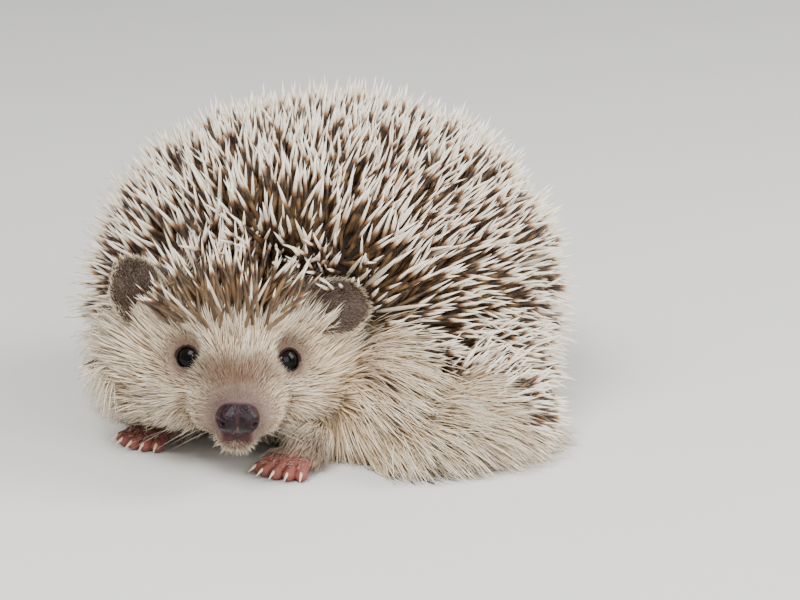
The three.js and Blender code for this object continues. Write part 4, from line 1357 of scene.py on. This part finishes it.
fine_shape = tuft_shape("fine_lock", [0, 0.35, 0.72, 1.0], [1.0, 0.85, 0.5], 0.050, 3, 0.09)
fine_mesh = planted(
    "face_fur", fine_shape, fur_length, fur_lie, furred * sparse * fine_share,
    spacing=0.235, stray=0.20, uneven=0.28, seed=23, material=fur_material)
tuft_pieces("face_fur", fine_mesh, fine_shape, FACE_MIDDLE, 3, fur_material)

long_shape = tuft_shape("long_lock", [0, 0.3, 0.62, 0.86, 1.0], [1.0, 0.9, 0.66, 0.36], 0.023, 3, 0.09)
long_mesh = planted(
    "body_fur", long_shape, fur_length, fur_lie, furred * (1 - fine_share),
    spacing=0.37, stray=0.22, uneven=0.30, seed=37, material=fur_material)
tuft_pieces("body_fur", long_mesh, long_shape, BODY_MIDDLE, 4, fur_material)

# %% [markdown]
# ## Down on ears, paws and tail
#
# Ears and paws look bare but carry a short, thin down, and a pale fringe stands along the rim of the
# ear. It is planted by the same tree, with tiny locks set wide apart.

# %% Down
EAR_SWEEP = 7.0                             # the larger, the straighter the down points to the tip
DOWN_RISE = 0.38
downy = np.maximum(skin_marks["ear"], 0.3 * skin_marks["paw"] * smooth_step(skin_points[:, 2], 2.4, 3.4))
tail_share = smooth_fall(tail(skin_points), 0.1, 0.8)
downy = np.maximum(downy, tail_share * smooth_step(skin_points[:, 1], 46, 50))
fringe = skin_marks["fringe"]
down_flow = fur_lie.copy()
for foot in FOOT_FRAMES.values():
    near = (distance(skin_points, foot.place([0, 4, 2])) < 13)[:, None]
    down_flow = np.where(near, foot.aim([0, 1, -0.1]), down_flow)
for name in EARS:
    across, up_ear, _ = EAR_AXES[name]
    outward = unit(ear_local(skin_h, name)[:, :1] * across + EAR_SWEEP * up_ear) @ HEAD.axes
    down_flow = np.where(on_ear(skin_h, name)[:, None], outward, down_flow)
down_length = 1.05 + 0.6 * fringe + 0.5 * skin_marks["paw"] + 0.8 * tail_share
down_rise = np.full(len(skin_points), DOWN_RISE)
down_lie = risen(along_skin(down_flow, skin_normals), skin_normals, down_rise)
down_shape = tuft_shape("down_lock", [0, 0.5, 1.0], [1.0, 0.7], 0.085, 3, 0.08)
down_mesh = planted(
    "down", down_shape, down_length, down_lie, downy * (0.6 + 0.4 * fringe),
    spacing=0.22, stray=0.25, uneven=0.3, seed=41, material=fur_material)
tuft_pieces("down", down_mesh, down_shape, FACE_MIDDLE, 1, fur_material)

# %% [markdown]
# ## Eyes
#
# A hedgehog's eye is a shiny dark bead with almost no white showing. A ball under a clear wet coat
# gives the crisp highlights; the iris is only a shade browner than the pupil. The balls are turned
# meshes with their poles on the line of sight, so the iris can be a ring about that line.

# %% Eyes
EYE_RINGS, EYE_SPOKES = 24, 40
PUPIL_COLOUR, IRIS_COLOUR = (0.002, 0.002, 0.002), (0.008, 0.004, 0.003)


def ball(centre, radius, pole):
    """A closed sphere whose first pole lies along the given direction."""
    side = unit(np.cross(pole, [0.0, 0.0, 1.0]))
    axes = np.array([side, np.cross(pole, side), pole])
    points = [[0, 0, 1.0]]
    turn = 2 * np.pi * np.arange(EYE_SPOKES) / EYE_SPOKES
    for r in range(1, EYE_RINGS):
        a = np.pi * r / EYE_RINGS
        level = np.full_like(turn, np.cos(a))
        points += np.stack([np.sin(a) * np.cos(turn), np.sin(a) * np.sin(turn), level], 1).tolist()
    points.append([0, 0, -1.0])
    first, last = 0, len(points) - 1
    faces = []
    for i in range(EYE_SPOKES):
        j = (i + 1) % EYE_SPOKES
        faces.append([first, 1 + i, 1 + j])
        for r in range(EYE_RINGS - 2):
            a, b = 1 + r * EYE_SPOKES, 1 + (r + 1) * EYE_SPOKES
            faces.append([a + i, b + i, b + j, a + j])
        bottom = 1 + (EYE_RINGS - 2) * EYE_SPOKES
        faces.append([last, bottom + j, bottom + i])
    return centre + radius * np.asarray(points) @ axes, faces, np.asarray(points)[:, 2]


def paint_eye(tree):
    facing = tree.mark("facing")
    mottled = tree.noise(2400, 2) * 0.5 + 0.5
    iris = 1 - facing.ramp(0.80, 0.86)
    return {"Base Color": tree.mix(PUPIL_COLOUR, IRIS_COLOUR, iris * mottled),
            "Roughness": 0.10 + mottled * 0.04}


eye_material = new_material("wet_eye", paint_eye, Coat_Weight=0.12, Coat_Roughness=0.02, IOR=1.15)
for name, side in (("left", 1), ("right", -1)):
    centre = HEAD.place([side * EYE_SIDE, 0, 0])
    look = HEAD.aim(EYE_LOOK * [side, 1, 1])
    points, faces, facing = ball(centre, EYE_RADIUS, look)
    mesh = new_mesh(f"eyeball_{name}", points, faces, {"facing": facing})
    add_piece(mesh, eye_material, [f"eye_{name}"])

# %% [markdown]
# ## Claws
#
# Each toe ends in a slim hooked claw of pale horn, pink where the quick shows through near the toe.
# A claw is a row of rings along a falling curve, narrowing to a blunt point.

# %% Claws
CLAW_GAP, CLAW_RADIUS = 0.3, 0.52
CLAW_RINGS, CLAW_SIDES = 9, 10
CLAW_ROOT, CLAW_LIFT, CLAW_DROP = 0.7, 0.45, 1.05   # mm inside the toe, above its tip, and downwards
CLAW_FLAT, CLAW_TAPER = 0.8, 0.75
HORN_PALE, HORN_PINK = (0.72, 0.57, 0.37), (0.55, 0.26, 0.20)


def claw(foot, toe_tip, aim, start, reach):
    side = np.array([aim[1], -aim[0], 0])
    points, along, faces = [], [], []
    for r in range(CLAW_RINGS):
        t = r / (CLAW_RINGS - 1)
        fall = [0, 0, CLAW_LIFT - CLAW_DROP * t * t]
        middle = toe_tip + aim * (start - CLAW_ROOT + t * (reach + CLAW_ROOT)) + fall
        radius = CLAW_RADIUS * (1 - CLAW_TAPER * t ** 1.4)
        for i in range(CLAW_SIDES):
            a = 2 * np.pi * i / CLAW_SIDES
            round_it = CLAW_FLAT * np.cos(a) * side + np.sin(a) * np.array([0, 0, 1])
            points.append(middle + radius * round_it)
            along.append(t)
    for r in range(CLAW_RINGS - 1):
        for i in range(CLAW_SIDES):
            j = (i + 1) % CLAW_SIDES
            a, b = r * CLAW_SIDES, (r + 1) * CLAW_SIDES
            faces.append([a + i, b + i, b + j, a + j])
    faces.append(list(range(CLAW_SIDES)))
    faces.append([(CLAW_RINGS - 1) * CLAW_SIDES + i for i in range(CLAW_SIDES)][::-1])
    return foot.place(points), faces, along


def paint_claw(tree):
    streaks = tree.noise(2600, 3)
    quick = (1 - tree.mark("along")).ramp(0.45, 0.95)
    colour = tree.mix(HORN_PALE, HORN_PINK, quick * 0.6 + streaks * 0.15)
    return {"Base Color": colour, "Roughness": 0.26 + streaks * 0.2,
            "Normal": bump(tree, streaks, 0.3, 0.0001)}


claw_material = new_material("pale_horn", paint_claw, Subsurface_Weight=0.1)
for name, foot in FOOT_FRAMES.items():
    shape = shape_of(name)
    points, faces, along = [], [], []
    start = shape["thick"] * 0.85 + CLAW_GAP
    for _, tip, aim in zip(*toes_of(shape)):
        ring_points, ring_faces, ring_along = claw(foot, tip, aim, start, shape["claw"])
        faces += [[v + len(along) for v in face] for face in ring_faces]
        points.append(ring_points)
        along += ring_along
    mesh = new_mesh(f"claws_{name}", np.concatenate(points), faces, {"along": along})
    nodes = [f"claw_{name}_{i + 1}" for i in range(shape["toes"])]
    add_piece(mesh, claw_material, nodes)

# %% [markdown]
# ## Whiskers
#
# Whiskers stand in rows on the pads beside the nose. They are much longer and stiffer than the fur,
# leave the skin sideways, and curve back under their own weight. Each is a closed tube of four sides
# that thins to nothing, on a curve made from its direction and its droop.

# %% Whiskers
WHISKER_ROWS, WHISKERS_IN_ROW = 3, 5
WHISKER_THICK = 0.042                       # mm, radius at the root
WHISKER_STATIONS = 12
WHISKER_DROOP = np.array([0, -0.46, -0.24])     # how its far end bends, as a share of its length
WHISKER_DEEP = 0.4                          # mm that its root reaches into the skin
WHISKER_DARK, WHISKER_PALE = (0.10, 0.06, 0.04), (0.75, 0.68, 0.58)
STRAND_TAPER, STRAND_TIP = 1.3, 0.06
rng = np.random.default_rng(5)


def on_skin(p, steps=6):
    p = np.atleast_2d(np.asarray(p, float))
    for _ in range(steps):
        p = p - skin(p)[:, None] * unit(gradient(skin, p))
    return p


def strands(paths, radii):
    """Closed tapering tubes along paths of shape (count, stations, 3)."""
    count, stations, _ = paths.shape
    tangent = unit(np.gradient(paths, axis=1))
    side = unit(np.cross(tangent, [0.0, 0.0, 1.0]))
    top = np.cross(side, tangent)
    taper = (1 - np.linspace(0, 1, stations) ** STRAND_TAPER)[None, :, None]
    taper = np.maximum(taper, STRAND_TIP) * np.asarray(radii)[:, None, None]
    rings = [paths + taper * (np.cos(a) * side + np.sin(a) * top) for a in np.arange(4) * np.pi / 2]
    points = np.stack(rings, 2).reshape(-1, 3)
    faces = []
    for s in range(count):
        for r in range(stations - 1):
            a = (s * stations + r) * 4
            faces += [[a + i, a + (i + 1) % 4, a + 4 + (i + 1) % 4, a + 4 + i] for i in range(4)]
        a, b = s * stations * 4, (s * stations + stations - 1) * 4
        faces += [[a + 3, a + 2, a + 1, a], [b, b + 1, b + 2, b + 3]]
    return points, faces


whisker_paths, whisker_radii = [], []
for side in (1, -1):
    for row in range(WHISKER_ROWS):
        for place in range(WHISKERS_IN_ROW):
            back = place / (WHISKERS_IN_ROW - 1)
            spot = [side * (4.6 + 1.8 * back), 13.0 - 7.5 * back, -5.2 - 1.6 * row]
            root = HEAD.local(on_skin(HEAD.place(spot)))[0]
            length = (9 + 11 * back) * rng.uniform(0.8, 1.15)
            aim = unit([side * rng.uniform(0.8, 1.0), rng.uniform(-0.25, 0.35) - 0.3 * back,
                        0.25 - 0.35 * row + rng.uniform(-0.12, 0.12)])
            t = np.linspace(0, 1, WHISKER_STATIONS)[:, None]
            path = root - WHISKER_DEEP * aim + length * (aim * t + WHISKER_DROOP * t ** 2)
            whisker_paths.append(HEAD.place(path))
            whisker_radii.append(WHISKER_THICK * rng.uniform(0.8, 1.2))
whisker_points, whisker_faces = strands(np.array(whisker_paths), whisker_radii)
whisker_points[:, 2] = np.maximum(whisker_points[:, 2], 0.2)


def paint_whisker(tree):
    patchy = tree.noise(90, 2)
    return {"Base Color": tree.mix(WHISKER_DARK, WHISKER_PALE, patchy.ramp(0.35, 0.6)),
            "Roughness": 0.35 + patchy * 0.1}


whisker_material = new_material("whisker_hair", paint_whisker)
add_piece(new_mesh("whiskers", whisker_points, whisker_faces), whisker_material)

# %% [markdown]
# ## Floor
#
# The floor is a plain, pale sheet that shows where the animal stands and catches its shadow. It is
# not part of the animal. One square is enough, since it is flat, and faint clouds in its colour keep
# it from looking like a void.

# %% Floor
FLOOR_COLOUR, FLOOR_DUST = (0.74, 0.73, 0.71), (0.66, 0.65, 0.63)
FLOOR_HALF = 3.0                            # metres


def paint_floor(tree):
    cloud = tree.noise(9, 4)
    return {"Base Color": tree.mix(FLOOR_COLOUR, FLOOR_DUST, cloud), "Roughness": 0.55 + cloud * 0.2}


floor_mesh = bpy.data.meshes.new("floor")
floor_corners = [[x * FLOOR_HALF, y * FLOOR_HALF, 0] for x, y in ((-1, -1), (1, -1), (1, 1), (-1, 1))]
floor_mesh.from_pydata(floor_corners, [], [[0, 1, 2, 3]])
floor_mesh.materials.append(new_material("pale_floor", paint_floor))
floor = show("floor", floor_mesh)
print("the floor is", 2 * FLOOR_HALF, "m across")

# %% [markdown]
# ## Light
#
# Seen from the camera, a broad soft light high in front and a little to the left models the dome. A
# wider, weaker one fills the shadows from the front right. The back light stands high and far out on
# the right, no nearer to the camera than the animal is, and rakes over the quill tips. A small lamp
# above the camera puts a sharp glint in each eye. The pale world light keeps the deepest shadows open.

# %% Light
LIGHTS = {
    "key": {"place": [0.14, -0.48, 0.78], "size": 0.45, "power": 9.0, "colour": (1.0, 0.97, 0.93)},
    "fill": {"place": [0.85, -0.10, 0.40], "size": 0.60, "power": 6.8, "colour": (0.97, 0.98, 1.0)},
    "glint": {"place": [0.40, -0.40, 0.46], "size": 0.06, "power": 1.3, "colour": (1.0, 1.0, 1.0)},
    "back": {"place": [0.42, 0.62, 0.50], "size": 0.50, "power": 9.0, "colour": (1.0, 0.98, 0.95)},
}
LIGHT_TARGET = (0, 0, 0.03)
SKY_COLOUR, SKY_STRENGTH = (0.86, 0.88, 0.92, 1), 0.58


def aimed(place, target):
    return (Vector(place) - Vector(target)).to_track_quat("Z", "Y").to_euler()


for name, light in LIGHTS.items():
    lamp = bpy.data.lights.new(name, "AREA")
    lamp.size, lamp.energy, lamp.color = light["size"], light["power"], light["colour"]
    holder = show(name, lamp)
    holder.location = light["place"]
    holder.rotation_euler = aimed(light["place"], LIGHT_TARGET)
    print(name, "light is", round(float(distance(light["place"], LIGHT_TARGET)), 2), "m away")
world = bpy.data.worlds.new("studio")
world.use_nodes = True
background = world.node_tree.nodes["Background"]
background.inputs["Color"].default_value = SKY_COLOUR
background.inputs["Strength"].default_value = SKY_STRENGTH
bpy.context.scene.world = world

# %% [markdown]
# ## Camera
#
# The camera looks down a little from the animal's left front. It is well over half a metre away
# behind a long lens, because from close by the nose would swell and the back would shrink.

# %% Camera
CAMERA_TURN, CAMERA_RISE = np.radians([50, 14.4])
CAMERA_PLACE = to_frame([573.6, -460.7, 210.15])
CAMERA_LENS, CAMERA_SENSOR = 161.4, 36.0    # mm
CAMERA_NEAR, CAMERA_FAR = 0.01, 20          # metres
camera_data = bpy.data.cameras.new("camera")
camera_data.lens, camera_data.sensor_width = CAMERA_LENS, CAMERA_SENSOR
camera_data.clip_start, camera_data.clip_end = CAMERA_NEAR, CAMERA_FAR
camera = show("camera", camera_data)
camera.location = CAMERA_PLACE
level_aim = np.array([-np.sin(CAMERA_TURN), np.cos(CAMERA_TURN)]) * np.cos(CAMERA_RISE)
looking = np.array([*level_aim, -np.sin(CAMERA_RISE)])
camera.rotation_euler = aimed(CAMERA_PLACE, CAMERA_PLACE + looking)
bpy.context.scene.camera = camera
print("the camera is", round(float(np.linalg.norm(CAMERA_PLACE)), 2), "m from the frame's origin")
